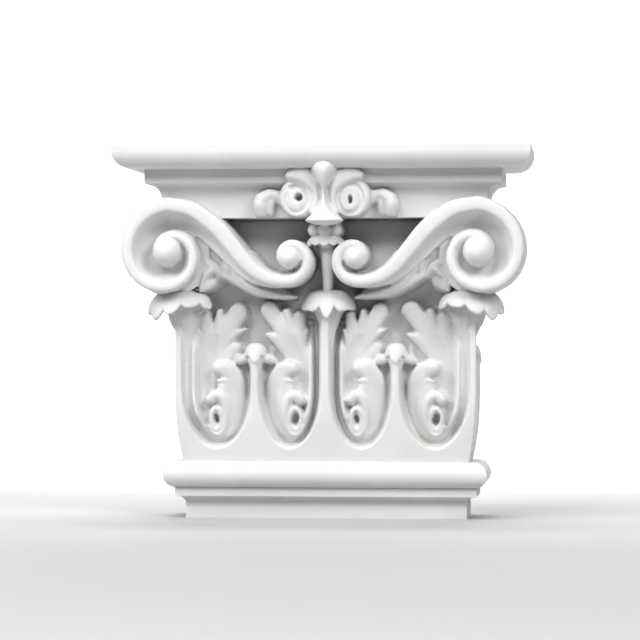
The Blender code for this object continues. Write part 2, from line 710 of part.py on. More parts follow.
def volute_back(bm, place):
    """The disc behind the big turn and the bolster that carries it to the wall."""
    a0 = VOLUTE_REACH - VOLUTE_CENTRE
    z0 = ABACUS_FOOT - VOLUTE_DROP
    levels = (
        (-SHAFT_DEPTH - 0.004, 0.0270),
        (-SHAFT_DEPTH + 0.006, 0.0262),
        (-SHAFT_DEPTH + 0.014, 0.0215),
        (-SHAFT_DEPTH + 0.026, BOLSTER_WAIST),
        (-SHAFT_DEPTH + 0.040, 0.0205),
        (-0.0040, 0.0262),
        (0.0020, 0.0282),
        (0.0150, 0.0282),
    )
    rows = [(s, r, r) for s, r in levels]
    to_space = lambda s, u, v: place(a0 + u, s, z0 - 0.0015 + v)
    turned(bm, to_space, rows, sides=28)


def domed(bm, place, spot, root, face, radius):
    """A ball that stands out of a scroll, from its root to a dome at its face."""
    rows = [(root, 1.15 * radius, 1.15 * radius)]
    for share in (0.0, 0.3, 0.5, 0.7, 0.85, 0.95, 1.0):
        r = radius * max(math.sqrt(1 - share * share), 0.06)
        rows.append((face - 0.0050 + 1.04 * 0.0100 * share, r, r))
    turned(bm, lambda s, u, v: place(spot[0] + u, s, spot[1] + v), rows, sides=32)


def scroll_eyes(bm, place):
    """Balls at the hearts of the big and small scrolls."""
    heart = (VOLUTE_REACH - VOLUTE_CENTRE, ABACUS_FOOT - VOLUTE_DROP + 0.0018)
    domed(bm, place, heart, 0.0, VOLUTE_FACE, EYE_RADIUS)
    domed(bm, place, (SCROLL_OFFSET, ABACUS_FOOT - SCROLL_DROP), -0.012, SCROLL_FACE, SCROLL_EYE_RADIUS)


def relief_patch(bm, place, spans, root, height):
    """A carved patch on a face, lofted from its level cross sections."""
    (low, high), (foot, top) = spans
    across = np.linspace(low, high, int((high - low) / GRID))
    rings = []
    for z in np.arange(foot, top, GRID):
        heights = np.maximum(height(across, np.full(across.shape, z)), root + 0.001)
        ring = [place(a, h, z) for a, h in zip(across, heights)]
        rings.append(ring + [place(high, root, z), place(low, root, z)])
    loft(bm, rings)


def sheath(bm, place):
    """The leaf that wraps the scroll band from below, with ruffled tips beside the big turn."""
    z0 = ABACUS_FOOT

    def height(across, up):
        z = up - z0
        web = [
            (0.0290, -0.0535, 0.0090, 0.0020),
            (0.0400, -0.0510, 0.0115, 0.0035),
            (0.0560, -0.0430, 0.0115, 0.0060),
        ]
        web += [(0.0680, -0.0360, 0.0110, 0.0070), (0.0790, -0.0340, 0.0110, 0.0080)]
        web += [(0.0810, -0.0240, 0.0120, 0.0080), (0.0800, -0.0150, 0.0120, 0.0080)]
        lip = [
            (0.0215, -0.0562, 0.0090, 0.0007),
            (0.0300, -0.0548, 0.0150, 0.0016),
            (0.0400, -0.0530, 0.0165, 0.0024),
        ]
        lip += [
            (0.0500, -0.0505, 0.0168, 0.0028),
            (0.0600, -0.0455, 0.0160, 0.0030),
            (0.0700, -0.0400, 0.0150, 0.0028),
        ]
        ridge = [
            (0.0360, -0.0532, 0.0165, 0.0014),
            (0.0500, -0.0496, 0.0180, 0.0020),
            (0.0570, -0.0450, 0.0184, 0.0022),
        ]
        ridge += [(0.0618, -0.0390, 0.0184, 0.0022), (0.0650, -0.0346, 0.0176, 0.0018)]
        relief = bump(across, z, web, 0.0012)
        folds = (
            lip,
            ridge,
            [
                (0.0668, -0.0410, 0.0140, 0.0022),
                (0.0686, -0.0360, 0.0168, 0.0022),
                (0.0706, -0.0312, 0.0170, 0.0014),
            ],
            [
                (0.0732, -0.0400, 0.0140, 0.0024),
                (0.0765, -0.0355, 0.0165, 0.0032),
                (0.0812, -0.0324, 0.0165, 0.0030),
                (0.0846, -0.0322, 0.0150, 0.0016),
            ],
            [
                (0.0776, -0.0350, 0.0165, 0.0020),
                (0.0812, -0.0378, 0.0176, 0.0018),
                (0.0846, -0.0408, 0.0172, 0.0016),
            ],
            [
                (0.0800, -0.0450, 0.0120, 0.0036),
                (0.0836, -0.0470, 0.0140, 0.0034),
                (0.0866, -0.0500, 0.0140, 0.0020),
            ],
            [
                (0.0846, -0.0408, 0.0172, 0.0016),
                (0.0866, -0.0455, 0.0170, 0.0014),
                (0.0884, -0.0514, 0.0160, 0.0010),
            ],
        )
        for rows in folds:
            relief = soft_max(relief, bump(across, z, rows, 0.0014), 0.0008)
        return relief

    relief_patch(bm, place, ((0.006, 0.096), (z0 - 0.061, z0 - 0.006)), -0.0310, height)


def oval_depth(across, z, middle, halves):
    """About how deep a point lies inside an oval."""
    reach = np.hypot((across - middle[0]) / halves[0], (z - middle[1]) / halves[1])
    return (1 - reach) * min(halves)


def rosette(across, z, slit):
    """One rolled petal of the flower with its flap, and the small bud beside it."""
    a, r = ROSETTE_OFFSET, ROSETTE_RADIUS
    relief = 0.0305 + pillow(oval_depth(across, z, (a, 0.0140), (r, r + 0.0006)), 0.0050, 0.0052)
    if slit:
        bowl = ((a - 0.0010, 0.0130), (0.0086, 0.0104), (30, -320), (0.0026, 0.0024), (0.0020, 0.0022))
        hole = (a - 0.0006, 0.0122, 0.0013, 0.0042)
        heart = ((a - 0.0006, 0.0122), (0.0062, 0.0088))
    else:
        bowl = ((a + 0.0016, 0.0125), (0.0073, 0.0093), (30, -290), (0.0034, 0.0022), (0.0012, 0.0014))
        hole = (a - 0.0002, 0.0138, 0.0030, 0.0030)
        heart = ((a + 0.0012, 0.0122), (0.0076, 0.0088))
    relief = relief - groove(across, z, oval_rows(*bowl, 14))
    relief = soft_max(relief, 0.0312 + pillow(oval_depth(across, z, *heart), 0.0050, 0.0052), 0.0005)
    relief = soft_max(relief, 0.0345 + pillow(stroke_depth(across, z, FLAP), 0.0040, 0.0042), 0.0005)
    bud = [(BUD_OFFSET + 0.0004, 0.0040, 0.0262, 0.0042), (BUD_OFFSET + 0.0010, 0.0090, 0.0285, 0.0046)]
    bud += [(BUD_OFFSET + 0.0004, 0.0130, 0.0275, 0.0042)]
    arch = [(BUD_OFFSET + 0.0004, 0.0130, 0.0270, 0.0040), (BUD_OFFSET - 0.0050, 0.0162, 0.0255, 0.0036)]
    arch += [(BUD_OFFSET - 0.0100, 0.0158, 0.0235, 0.0036), (a + 0.0110, 0.0130, 0.0225, 0.0050)]
    inner = [(BUD_OFFSET - 0.0058, 0.0040, 0.0215, 0.0030), (BUD_OFFSET - 0.0062, 0.0110, 0.0235, 0.0034)]
    for rows, drop in ((bud, 0.0036), (arch, 0.0020), (inner, 0.0022)):
        relief = soft_max(relief, bump(across, z, rows, drop, 4), 0.0004)
    inside = ((across - hole[0]) / hole[2]) ** 2 + ((z - hole[1]) / hole[3]) ** 2
    return relief - 0.0110 * np.sqrt(np.clip(1 - inside, 0.0, 1.0))


def flower(bm):
    def height(across, up):
        local = across - MIDDLE_SET
        z = up - ABACUS_FOOT
        left = rosette(-local, z, False)
        right = rosette(local, z, True)
        return np.where(local < 0, left, right)

    reach = BUD_OFFSET + 0.010
    spans = ((MIDDLE_SET - reach, MIDDLE_SET + reach), (ABACUS_FOOT + 0.0002, TOTAL_HEIGHT - 0.0080))
    relief_patch(bm, front, spans, 0.0100, height)


def pistil(bm):
    """The middle of the flower: a drop, a thin waist and a trumpet foot."""
    z0 = ABACUS_FOOT
    levels = (
        (-0.0055, 0.0060, 0.0090),
        (-0.0030, 0.0134, 0.0150),
        (-0.0005, 0.0116, 0.0130),
        (0.0040, 0.0066, 0.0100),
        (0.0100, 0.0032, 0.0084),
        (0.0165, 0.0012, 0.0080),
        (0.0205, 0.0018, 0.0092),
        (0.0250, 0.0042, 0.0120),
        (0.0300, 0.0074, 0.0140),
        (0.0345, 0.0094, 0.0144),
        (0.0380, 0.0086, 0.0126),
        (0.0400, 0.0052, 0.0086),
        (0.0406, 0.0020, 0.0050),
    )
    out = SHAFT_DEPTH + 0.0310
    to_space = lambda s, u, v: Vector((MIDDLE_SET + u, WALL_Y - out - v, z0 + s))
    turned(bm, to_space, smooth_rows(levels, 3), sides=24)
    root = ((z0 - 0.004, 0.0100, 0.026), (z0 + 0.004, 0.0070, 0.026), (z0 + 0.030, 0.0060, 0.024))
    body = lambda s, u, v: Vector((MIDDLE_SET + u, WALL_Y - SHAFT_DEPTH - 0.008 - v, s))
    turned(bm, body, root, sides=12)


def beads_and_stem(bm):
    """Berries over a ragged frill under the flower, on a stem that reaches the middle hood."""
    z = ABACUS_FOOT - 0.0086
    middle = Vector((MIDDLE_SET - 0.0012, WALL_Y - SHAFT_DEPTH - 0.0080, z))
    for turn in (-128, -50, 0, 50, 128):
        angle = math.radians(turn)
        centre = middle + 0.0106 * Vector((math.sin(angle), -math.cos(angle), 0.0))
        ball(bm, centre, (0.0044, 0.0044, 0.0047))
    core = ((-0.0110, 0.0060, 0.0070), (0.0, 0.0090, 0.0090), (0.0080, 0.0080, 0.0080))
    turned(bm, lambda s, u, v: middle + Vector((u, -v, s)), core, sides=24)
    hood(bm, middle + Vector((0.0, 0.0, -0.0030)), 0, 0.0136, FRILL_FALLS, FRILL_LOBES, 64)
    hood_top = NECK_FOOT + HOOD_TOP
    stem = [
        (MIDDLE_SET, z - 0.0080, 0.0120, 0.0066),
        (MIDDLE_SET, z - 0.0150, 0.0112, 0.0056),
        (MIDDLE_SET, z - 0.0250, 0.0100, 0.0044),
        (MIDDLE_SET, z - 0.0360, 0.0100, 0.0036),
        (MIDDLE_SET, hood_top - 0.0060, 0.0100, 0.0034),
    ]
    petal(bm, front, stem, dish=-0.0008, drop=0.0030)


def mesh_object(name, bm, collection):
    bmesh.ops.recalc_face_normals(bm, faces=bm.faces)
    mesh = bpy.data.meshes.new(name)
    bm.to_mesh(mesh)
    bm.free()
    obj = bpy.data.objects.new(name, mesh)
    collection.objects.link(obj)
    return obj


def helper(name, build, collection):
    """A mesh that shapes the capital and isn't part of it."""
    bm = bmesh.new()
    build(bm)
    obj = mesh_object(name, bm, collection)
    obj.hide_render = True
    obj.display_type = "WIRE"
    return obj


def boolean(obj, other, operation):
    modifier = obj.modifiers.new(other.name, "BOOLEAN")
    modifier.operation = operation
    modifier.solver = "EXACT"
    modifier.object = other


def applied(obj):
    """The object's mesh with its modifiers worked in."""
    graph = bpy.context.evaluated_depsgraph_get()
    return bpy.data.meshes.new_from_object(obj.evaluated_get(graph))


def outer_skin(mesh):
    """Fills what is sealed inside by keeping the largest closed skin alone."""
    bm = bmesh.new()
    bm.from_mesh(mesh)
    bm.verts.ensure_lookup_table()
    left = set(bm.verts)
    skins = []
    while left:
        skin, edge = set(), [next(iter(left))]
        while edge:
            vert = edge.pop()
            if vert not in skin:
                skin.add(vert)
                edge.extend(link.other_vert(vert) for link in vert.link_edges)
        skins.append(skin)
        left -= skin
    keep = max(skins, key=lambda skin: max(v.co.x for v in skin) - min(v.co.x for v in skin))
    bmesh.ops.delete(bm, geom=[v for v in bm.verts if v not in keep], context="VERTS")
    bm.to_mesh(mesh)
    bm.free()
    return mesh


def carving(helpers):
    """Neck, leaves, scrolls and flower fused into one soft-edged skin."""
    bm = bmesh.new()
    neck(bm)
    for sign in (-1, 1):
        short_bud(bm, front, sign * HALF_SHAFT / 2, 0)
        short_bud(bm, side_face(sign), WALL_RIB_WIDTH - SHORT_RIB_WIDTH / 2 - SHAFT_DEPTH, sign * 90)
        place = mirrored(front, sign)
        scroll_band(bm, place)
        volute_back(bm, place)
        scroll_eyes(bm, place)
        sheath(bm, place)
    tall_tips(bm)
    flower(bm)
    pistil(bm)
    beads_and_stem(bm)
    obj = mesh_object("carving", bm, helpers)
    obj.hide_render = True
    obj.display_type = "WIRE"
    fuse = obj.modifiers.new("fuse", "REMESH")
    fuse.mode = "VOXEL"
    fuse.voxel_size = VOXEL
    fused = outer_skin(applied(obj))
    obj.modifiers.clear()
    obj.data = fused
    fused.calc_loop_triangles()
    obj.modifiers.new("thin", "DECIMATE")
    return obj, CARVING_TRIANGLES / len(fused.loop_triangles)


def closed(mesh):
    """Whether every edge of the mesh has two faces."""
    bm = bmesh.new()
    bm.from_mesh(mesh)
    fine = all(len(edge.link_faces) == 2 for edge in bm.edges)
    bm.free()
    return fine


def wall_cutter(bm):
    """Everything behind the plane of the wall."""
    size = 4 * max(SHAFT_WIDTH, TOTAL_HEIGHT)
    place = Matrix.Translation((0, WALL_Y + size / 2, 0)) @ Matrix.Scale(size, 4)
    bmesh.ops.create_cube(bm, size=1.0, matrix=place)


def white_cast():
    material = bpy.data.materials.new("white_cast")
    material.use_nodes = True
    shader = material.node_tree.nodes["Principled BSDF"]
    shader.inputs["Base Color"].default_value = (0.80, 0.80, 0.79, 1.0)
    shader.inputs["Roughness"].default_value = 0.62
    shader.inputs["Metallic"].default_value = 0.0
    return material


def build():
    for obj in list(bpy.data.objects):
        bpy.data.objects.remove(obj, do_unlink=True)
    parts = bpy.data.collections.new("pilaster_capital")
    helpers = bpy.data.collections.new("shaping")
    for collection in (parts, helpers):
        bpy.context.scene.collection.children.link(collection)
    bm = bmesh.new()
    stack(bm, body_profile())
    capital = mesh_object("capital", bm, parts)
    capital.data.materials.append(white_cast())
    carved, ratio = carving(helpers)
    boolean(capital, carved, "UNION")
    boolean(capital, helper("wall", wall_cutter, helpers), "DIFFERENCE")
    for share in THINNER:
        carved.modifiers["thin"].ratio = share * ratio
        solid = outer_skin(applied(capital))
        if closed(solid):
            break
    capital.modifiers.clear()
    capital.data = solid


build()
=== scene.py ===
"""Looks of the cast pilaster capital, in metres with +Z up.

Design axes: a runs across a face, h is the height of the relief above that face of the shaft,
out is the distance out from the wall and z is the height above the underside. The front looks
towards -Y, and the flat back at +Y is the face that meets the wall.
"""

import math

import bmesh
import bpy
import numpy as np
from mathutils import Matrix, Vector


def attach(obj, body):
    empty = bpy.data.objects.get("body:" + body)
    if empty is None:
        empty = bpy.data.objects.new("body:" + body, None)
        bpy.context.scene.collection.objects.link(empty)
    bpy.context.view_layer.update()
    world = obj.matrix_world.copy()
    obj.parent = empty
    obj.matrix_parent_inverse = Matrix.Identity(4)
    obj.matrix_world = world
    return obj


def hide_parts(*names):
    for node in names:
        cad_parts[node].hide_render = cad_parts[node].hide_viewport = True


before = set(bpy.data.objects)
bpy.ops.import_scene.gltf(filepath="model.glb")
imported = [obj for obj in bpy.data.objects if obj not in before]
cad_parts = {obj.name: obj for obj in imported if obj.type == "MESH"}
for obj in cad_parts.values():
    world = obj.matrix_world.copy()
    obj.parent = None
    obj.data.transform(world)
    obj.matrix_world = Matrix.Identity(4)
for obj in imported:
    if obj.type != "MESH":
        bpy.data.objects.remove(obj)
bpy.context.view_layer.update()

# Shaft that the capital continues
SHAFT_WIDTH = 0.2010
SHAFT_DEPTH = 0.0550

# Foot mouldings, from the underside up
BAND_HEIGHT = 0.0105
FOOT_COVE_HEIGHT = 0.0055
FILLET_HEIGHT = 0.0062
FILLET_OVERHANG = 0.0070
TORUS_HEIGHT = 0.0183
TORUS_OVERHANG = 0.0147

# Neck with its row of leaves, and the bell behind them
NECK_HEIGHT = 0.0875
NECK_OVERHANG = 0.0069
NECK_FOOT_OVERHANG = 0.0016
BELL_INSET = 0.0110
BELL_TOP_INSET = 0.0215
BELL_PLUMB = 0.1250
BELL_HEIGHT = 0.1730

# Abacus, from its underside up
LOWER_MEMBER_HEIGHT = 0.0140
LOWER_MEMBER_OVERHANG = 0.0152
ABACUS_COVE_HEIGHT = 0.0100
TIER_HEIGHT = 0.0102
TIER_OVERHANG = 0.0259
OVOLO_HEIGHT = 0.0118
OVOLO_FOOT_OVERHANG = 0.0330
OVOLO_OVERHANG = 0.0462
LIP_HEIGHT = 0.0045
EDGE_RADIUS = 0.0008

# Niches between the ribs, and the round-bottomed channel inside each one's edge
CORNER_RIB_SET = 0.0021
CENTRE_RIB_WIDTH = 0.0062
SHORT_RIB_WIDTH = 0.0050
WALL_RIB_WIDTH = 0.0073
NICHE_SILL = 0.0084
NICHE_CURVE_HEIGHT = 0.0460
CHANNEL_DEPTH = 0.0165

# Leaf tips: the short leaf's bud, and the hoods of the tall leaves
BUD_HEIGHT = 0.0845
BUD_RADIUS = 0.0081
BUD_SET = -0.0002
HOOD_RADIUS = 0.0192
CORNER_HOOD_RADIUS = 0.0228
CORNER_HOOD_SET = 0.0030
HOOD_TOP = 0.1225
MIDDLE_SET = 0.0022

# Scrolls
VOLUTE_REACH = 0.1428
VOLUTE_CENTRE = 0.0335
VOLUTE_DROP = 0.0260
VOLUTE_RADIUS = 0.0353
VOLUTE_FACE = 0.0330
SCROLL_OFFSET = 0.0230
SCROLL_DROP = 0.0286
SCROLL_FACE = 0.0285
EYE_RADIUS = 0.0104
SCROLL_EYE_RADIUS = 0.0078
BOLSTER_WAIST = 0.0185
CHANNEL_FALL = 1.55

# Flower on the abacus
ROSETTE_OFFSET = 0.0186
ROSETTE_RADIUS = 0.0138
BUD_OFFSET = 0.0458

# Lobes of half a tall leaf in each kind of niche, as strokes of (from the edge beside the tall
# leaf, above the neck's foot, half width), for a niche as wide as TALL_WIDTHS says
TALL_WIDTHS = {"slit": 0.04985, "round": 0.04465}
SLIT_LOBES = (
    (
        (0.0160, 0.0440, 0.0040),
        (0.0180, 0.0600, 0.0072),
        (0.0212, 0.0760, 0.0092),
        (0.0235, 0.0880, 0.0078),
    ),
    ((0.0165, 0.0720, 0.0045), (0.0137, 0.0860, 0.0024), (0.0106, 0.0942, 0.0009)),
    ((0.0180, 0.0800, 0.0060), (0.0174, 0.0930, 0.0050), (0.0163, 0.1036, 0.0038)),
    ((0.0215, 0.0850, 0.0040), (0.0250, 0.0980, 0.0034), (0.0268, 0.1064, 0.0025)),
    ((0.0240, 0.0780, 0.0060), (0.0310, 0.0930, 0.0064), (0.0397, 0.1062, 0.0066)),
    ((0.0260, 0.0790, 0.0050), (0.0345, 0.0895, 0.0040), (0.0448, 0.0944, 0.0008)),
    ((0.0240, 0.0680, 0.0060), (0.0330, 0.0770, 0.0056), (0.0385, 0.0815, 0.0036)),
)
ROUND_LOBES = (
    (
        (0.0145, 0.0440, 0.0040),
        (0.0160, 0.0600, 0.0070),
        (0.0186, 0.0760, 0.0088),
        (0.0206, 0.0880, 0.0076),
    ),
    ((0.0160, 0.0740, 0.0045), (0.0134, 0.0870, 0.0026), (0.0106, 0.0940, 0.0010)),
    ((0.0165, 0.0820, 0.0056), (0.0160, 0.0940, 0.0046), (0.0158, 0.1030, 0.0042)),
    ((0.0205, 0.0850, 0.0040), (0.0235, 0.0980, 0.0034), (0.0252, 0.1060, 0.0030)),
    ((0.0215, 0.0800, 0.0060), (0.0290, 0.0950, 0.0060), (0.0375, 0.1078, 0.0062)),
    ((0.0240, 0.0790, 0.0055), (0.0312, 0.0866, 0.0050), (0.0390, 0.0904, 0.0016)),
)
TALL_LOBES = {"slit": SLIT_LOBES, "round": ROUND_LOBES}

# Half a short leaf: the same kind of strokes, from the edge beside the short rib
SHORT_BODY = (
    (0.0240, 0.0663, 0.0046),
    (0.0180, 0.0650, 0.0061),
    (0.0122, 0.0580, 0.0063),
    (0.0097, 0.0460, 0.0046),
    (0.0100, 0.0350, 0.0044),
    (0.0140, 0.0245, 0.0043),
    (0.0210, 0.0196, 0.0040),
)
SHORT_TOOTH = ((0.0160, 0.0560, 0.0040), (0.0196, 0.0576, 0.0026), (0.0240, 0.0570, 0.0012))
CURL_BED = (
    (0.0190, 0.0520, 0.0060),
    (0.0185, 0.0420, 0.0076),
    (0.0200, 0.0300, 0.0080),
    (0.0230, 0.0240, 0.0050),
)
CURL_ARC = ((0.0254, 0.0330), (0.0068, 0.0142), (38, -235))
CURL_RING = ((0.0258, 0.0300), (0.0038, 0.0078), (-60, 300))
EYE = (0.0258, 0.0304)
EYE_HALVES = {"slit": (0.0017, 0.0038), "round": (0.0031, 0.0046)}

# Trumpets under the hoods: (above the hood's top, radius as a share of the hood's)
CORNER_STEM = (
    (-0.060, 0.10),
    (-0.048, 0.16),
    (-0.0355, 0.25),
    (-0.0285, 0.36),
    (-0.0236, 0.48),
    (-0.018, 0.55),
    (-0.011, 0.57),
    (-0.004, 0.56),
)
MIDDLE_STEM = (
    (-0.060, 0.10),
    (-0.042, 0.17),
    (-0.032, 0.24),
    (-0.025, 0.35),
    (-0.019, 0.48),
    (-0.011, 0.66),
    (-0.004, 0.66),
)

# Lobes of the hoods' rims, either side of the middle: (degrees, spread, degrees down, roundness),
# and how far each hood's dome would fall, as degrees from its middle and the falls there
CORNER_LOBES = (
    (0, 17, 94, 0.5),
    (35, 18, 92, 0.5),
    (71, 18, 92, 0.5),
    (108, 19, 94, 0.5),
)
CORNER_FALLS = ((0, 17, 35, 53, 71, 108, 180), (0.0196, 0.0186, 0.0162, 0.0138, 0.0118, 0.0128, 0.0150))
MIDDLE_LOBES = (
    (0, 19, 92, 1.0),
    (54, 35, 90, 0.35),
    (115, 26, 92, 0.5),
)
MIDDLE_FALLS = ((0, 19, 30, 50, 90, 180), (0.0192, 0.0180, 0.0165, 0.0138, 0.0152, 0.0160))
BUD_LOBES = (
    (0, 42, 92, 1.0),
    (80, 38, 84, 0.5),
)
BUD_FALLS = ((0, 40, 90, 180), (0.0136, 0.0118, 0.0104, 0.0104))
FRILL_LOBES = (
    (0, 15, 90, 0.6),
    (30, 15, 86, 0.6),
    (60, 15, 92, 0.6),
    (90, 15, 86, 0.6),
    (120, 15, 90, 0.6),
    (150, 15, 86, 0.6),
    (180, 15, 90, 0.6),
)
FRILL_FALLS = ((0, 180), (0.0084, 0.0080))

# Flap over each rolled petal: a stroke of (from the flower's middle, above the abacus's
# underside, half width)
FLAP = (
    (0.0252, 0.0290, 0.0030),
    (0.0205, 0.0304, 0.0050),
    (0.0148, 0.0296, 0.0062),
    (0.0098, 0.0256, 0.0052),
    (0.0063, 0.0190, 0.0030),
    (0.0060, 0.0110, 0.0022),
    (0.0084, 0.0036, 0.0018),
)

# Sheath leaf under each scroll band: its web and its folds, as paths of (from the middle, above
# the abacus's underside, height, half width)
SHEATH_WEB = (
    (0.0290, -0.0535, 0.0090, 0.0020),
    (0.0400, -0.0510, 0.0115, 0.0035),
    (0.0560, -0.0430, 0.0115, 0.0060),
    (0.0680, -0.0360, 0.0110, 0.0070),
    (0.0790, -0.0340, 0.0110, 0.0080),
    (0.0810, -0.0240, 0.0120, 0.0080),
    (0.0800, -0.0150, 0.0120, 0.0080),
)
SHEATH_LIP = (
    (0.0215, -0.0562, 0.0090, 0.0007),
    (0.0300, -0.0548, 0.0150, 0.0016),
    (0.0400, -0.0530, 0.0165, 0.0024),
    (0.0500, -0.0505, 0.0168, 0.0028),
    (0.0600, -0.0455, 0.0160, 0.0030),
    (0.0700, -0.0400, 0.0150, 0.0028),
)
SHEATH_RIDGE = (
    (0.0360, -0.0532, 0.0165, 0.0014),
    (0.0500, -0.0496, 0.0180, 0.0020),
    (0.0570, -0.0450, 0.0184, 0.0022),
    (0.0618, -0.0390, 0.0184, 0.0022),
    (0.0650, -0.0346, 0.0176, 0.0018),
)
SHEATH_FOLDS = (
    SHEATH_LIP,
    SHEATH_RIDGE,
    (
        (0.0668, -0.0410, 0.0140, 0.0022),
        (0.0686, -0.0360, 0.0168, 0.0022),
        (0.0706, -0.0312, 0.0170, 0.0014),
    ),
    (
        (0.0732, -0.0400, 0.0140, 0.0024),
        (0.0765, -0.0355, 0.0165, 0.0032),
        (0.0812, -0.0324, 0.0165, 0.0030),
        (0.0846, -0.0322, 0.0150, 0.0016),
    ),
    (
        (0.0776, -0.0350, 0.0165, 0.0020),
        (0.0812, -0.0378, 0.0176, 0.0018),
        (0.0846, -0.0408, 0.0172, 0.0016),
    ),
    (
        (0.0800, -0.0450, 0.0120, 0.0036),
        (0.0836, -0.0470, 0.0140, 0.0034),
        (0.0866, -0.0500, 0.0140, 0.0020),
    ),
    (
        (0.0846, -0.0408, 0.0172, 0.0016),
        (0.0866, -0.0455, 0.0170, 0.0014),
        (0.0884, -0.0514, 0.0160, 0.0010),
    ),
)

# Mesh making
BACK_SPARE = 0.0060
BACK_GAP = 0.0002
GRID = 0.0007
VOXEL = 0.0008
PIECE_TRIANGLES = 190000
ARC_STEPS = 16

# Camera at the photograph's place
CAMERA_LENS = 158.0
CAMERA_DISTANCE = 2.0
CAMERA_HEIGHT = 0.1342
CAMERA_TURN = 5.8
CAMERA_PAN = 0.117
CAMERA_SHIFT = 10 / 640

# Soft lights as (name, degrees to the right of the front, degrees up, watts)
SOFT_LIGHTS = (
    ("left", -60, 34, 12.6),
    ("right", 40, 34, 15.2),
    ("front", -20, 36, 11.6),
    ("top", -20, 68, 7.6),
)
LIGHT_DISTANCE = 2.0
LIGHT_AIM = Vector((0.0, 0.0, 0.132))
LIGHT_SIZE = 0.8
BACKDROP_SPOT = Vector((0.0, 0.8, 2.2))
BACKDROP_AIM = Vector((0.0, 1.9, 0.5))
BACKDROP_SIZE = 1.4
BACKDROP_SPREAD = 120
BACKDROP_POWER = 44.0

# Sweep: a floor, and from its edge a quarter turn up into the backdrop
FLOOR_REACH = 9.0
FLOOR_EDGE = 1.0
SWEEP_RADIUS = 1.0
SWEEP_STEPS = 12
BACKDROP_HEIGHT = 3.0
FLOOR_COLOUR = (0.52, 0.52, 0.52, 1.0)

# Worked out from the sizes above
NECK_FOOT = BAND_HEIGHT + FOOT_COVE_HEIGHT + FILLET_HEIGHT + TORUS_HEIGHT
ABACUS_FOOT = NECK_FOOT + BELL_HEIGHT
TIER_FOOT = ABACUS_FOOT + LOWER_MEMBER_HEIGHT + ABACUS_COVE_HEIGHT
OVOLO_FOOT = TIER_FOOT + TIER_HEIGHT
TOTAL_HEIGHT = OVOLO_FOOT + OVOLO_HEIGHT + LIP_HEIGHT
TOTAL_DEPTH = SHAFT_DEPTH + OVOLO_OVERHANG
WALL_Y = TOTAL_DEPTH / 2
HALF_SHAFT = SHAFT_WIDTH / 2


def front(a, h, z):
    """A point of the front face."""
    return Vector((a, WALL_Y - SHAFT_DEPTH - h, z))


def side_face(sign):
    """The face on one side: a is 0 at the front corner and falls towards the wall."""
    return lambda a, h, z: Vector((sign * (HALF_SHAFT + h), WALL_Y - SHAFT_DEPTH - a, z))


def mirrored(place, sign):
    return lambda a, h, z: place(sign * a, h, z)


def smooth_rows(rows, steps):
    """Rows of values read from a smooth curve through the given rows."""
    rows = np.array(rows, float)
    ends = np.vstack([2 * rows[0] - rows[1], rows, 2 * rows[-1] - rows[-2]])
    found = []
    for i in range(len(rows) - 1):
        p0, p1, p2, p3 = ends[i : i + 4]
        for t in np.arange(steps) / steps:
            found.append(
                0.5
                * (
                    2 * p1
                    + (p2 - p0) * t
                    + (2 * p0 - 5 * p1 + 4 * p2 - p3) * t * t
                    + (3 * p1 - p0 - 3 * p2 + p3) * t**3
                )
            )
    return np.array(found + [rows[-1]])


def loft(bm, rings):
    """A closed skin over rings that have as many points each."""
    made = [[bm.verts.new(point) for point in ring] for ring in rings]
    count = len(made[0])
    for low, high in zip(made, made[1:]):
        for i in range(count):
            bm.faces.new((low[i], low[(i + 1) % count], high[(i + 1) % count], high[i]))
    bm.faces.new(made[0][::-1])
    bm.faces.new(made[-1])


def petal(bm, place, rows, root=-0.014, dish=0.0008, drop=0.0025, steps=3):
    """A leaf lobe on a face: rows of (a, z, h, half width) along its middle."""
    path = smooth_rows(rows, steps)
    flat = path[:, :2]
    along = np.gradient(flat, axis=0)
    along /= np.linalg.norm(along, axis=1)[:, None]
    across = np.stack([along[:, 1], -along[:, 0]], axis=1)
    rings = []
    for (a, z, h, half), (da, dz) in zip(path, across):
        half = max(half, 0.0004)
        ring = []
        for u in np.linspace(-1, 1, 9):
            height = h - drop * abs(u) ** 4 - dish * (1 - u * u)
            ring.append(place(a + da * half * u, height, z + dz * half * u))
        ring.append(place(a + da * half, root, z + dz * half))
        ring.append(place(a - da * half, root, z - dz * half))
        rings.append(ring)
    loft(bm, rings)


def turned(bm, to_space, levels, sides=16, folds=0, depth=0.0):
    """A body turned about an axis: levels of (place along it, radius u, radius v)."""
    rings = []
    for s, ru, rv in levels:
        ring = []
        for k in range(sides):
            angle = 2 * math.pi * k / sides
            swell = 1 + depth * math.cos(folds * angle)
            ring.append(to_space(s, ru * swell * math.sin(angle), rv * swell * math.cos(angle)))
        rings.append(ring)
    loft(bm, rings)


def ball(bm, centre, radii, segments=16, rings=10):
    shape = Matrix.Translation(centre) @ Matrix.Diagonal((*radii, 1.0))
    bmesh.ops.create_uvsphere(bm, u_segments=segments, v_segments=rings, radius=1.0, matrix=shape)


def arc(start, end, hollow, steps):
    """Quarter of an ellipse between two profile points, bulging or hollow, without its start."""
    (e0, z0), (e1, z1) = start, end
    points = []
    for i in range(1, steps + 1):
        t = i / steps * math.pi / 2
        if hollow:
            points.append((e0 + (e1 - e0) * math.sin(t), z0 + (z1 - z0) * (1 - math.cos(t))))
        else:
            points.append((e0 + (e1 - e0) * (1 - math.cos(t)), z0 + (z1 - z0) * math.sin(t)))
    return points


def stack(bm, profile, back=-BACK_SPARE):
    """Mitred mouldings on the front and both sides: a profile of (overhang, z)."""
    rings = []
    for overhang, z in profile:
        x = HALF_SHAFT + overhang
        y = WALL_Y - SHAFT_DEPTH - overhang
        rings.append(((-x, WALL_Y - back, z), (-x, y, z), (x, y, z), (x, WALL_Y - back, z)))
    loft(bm, rings)


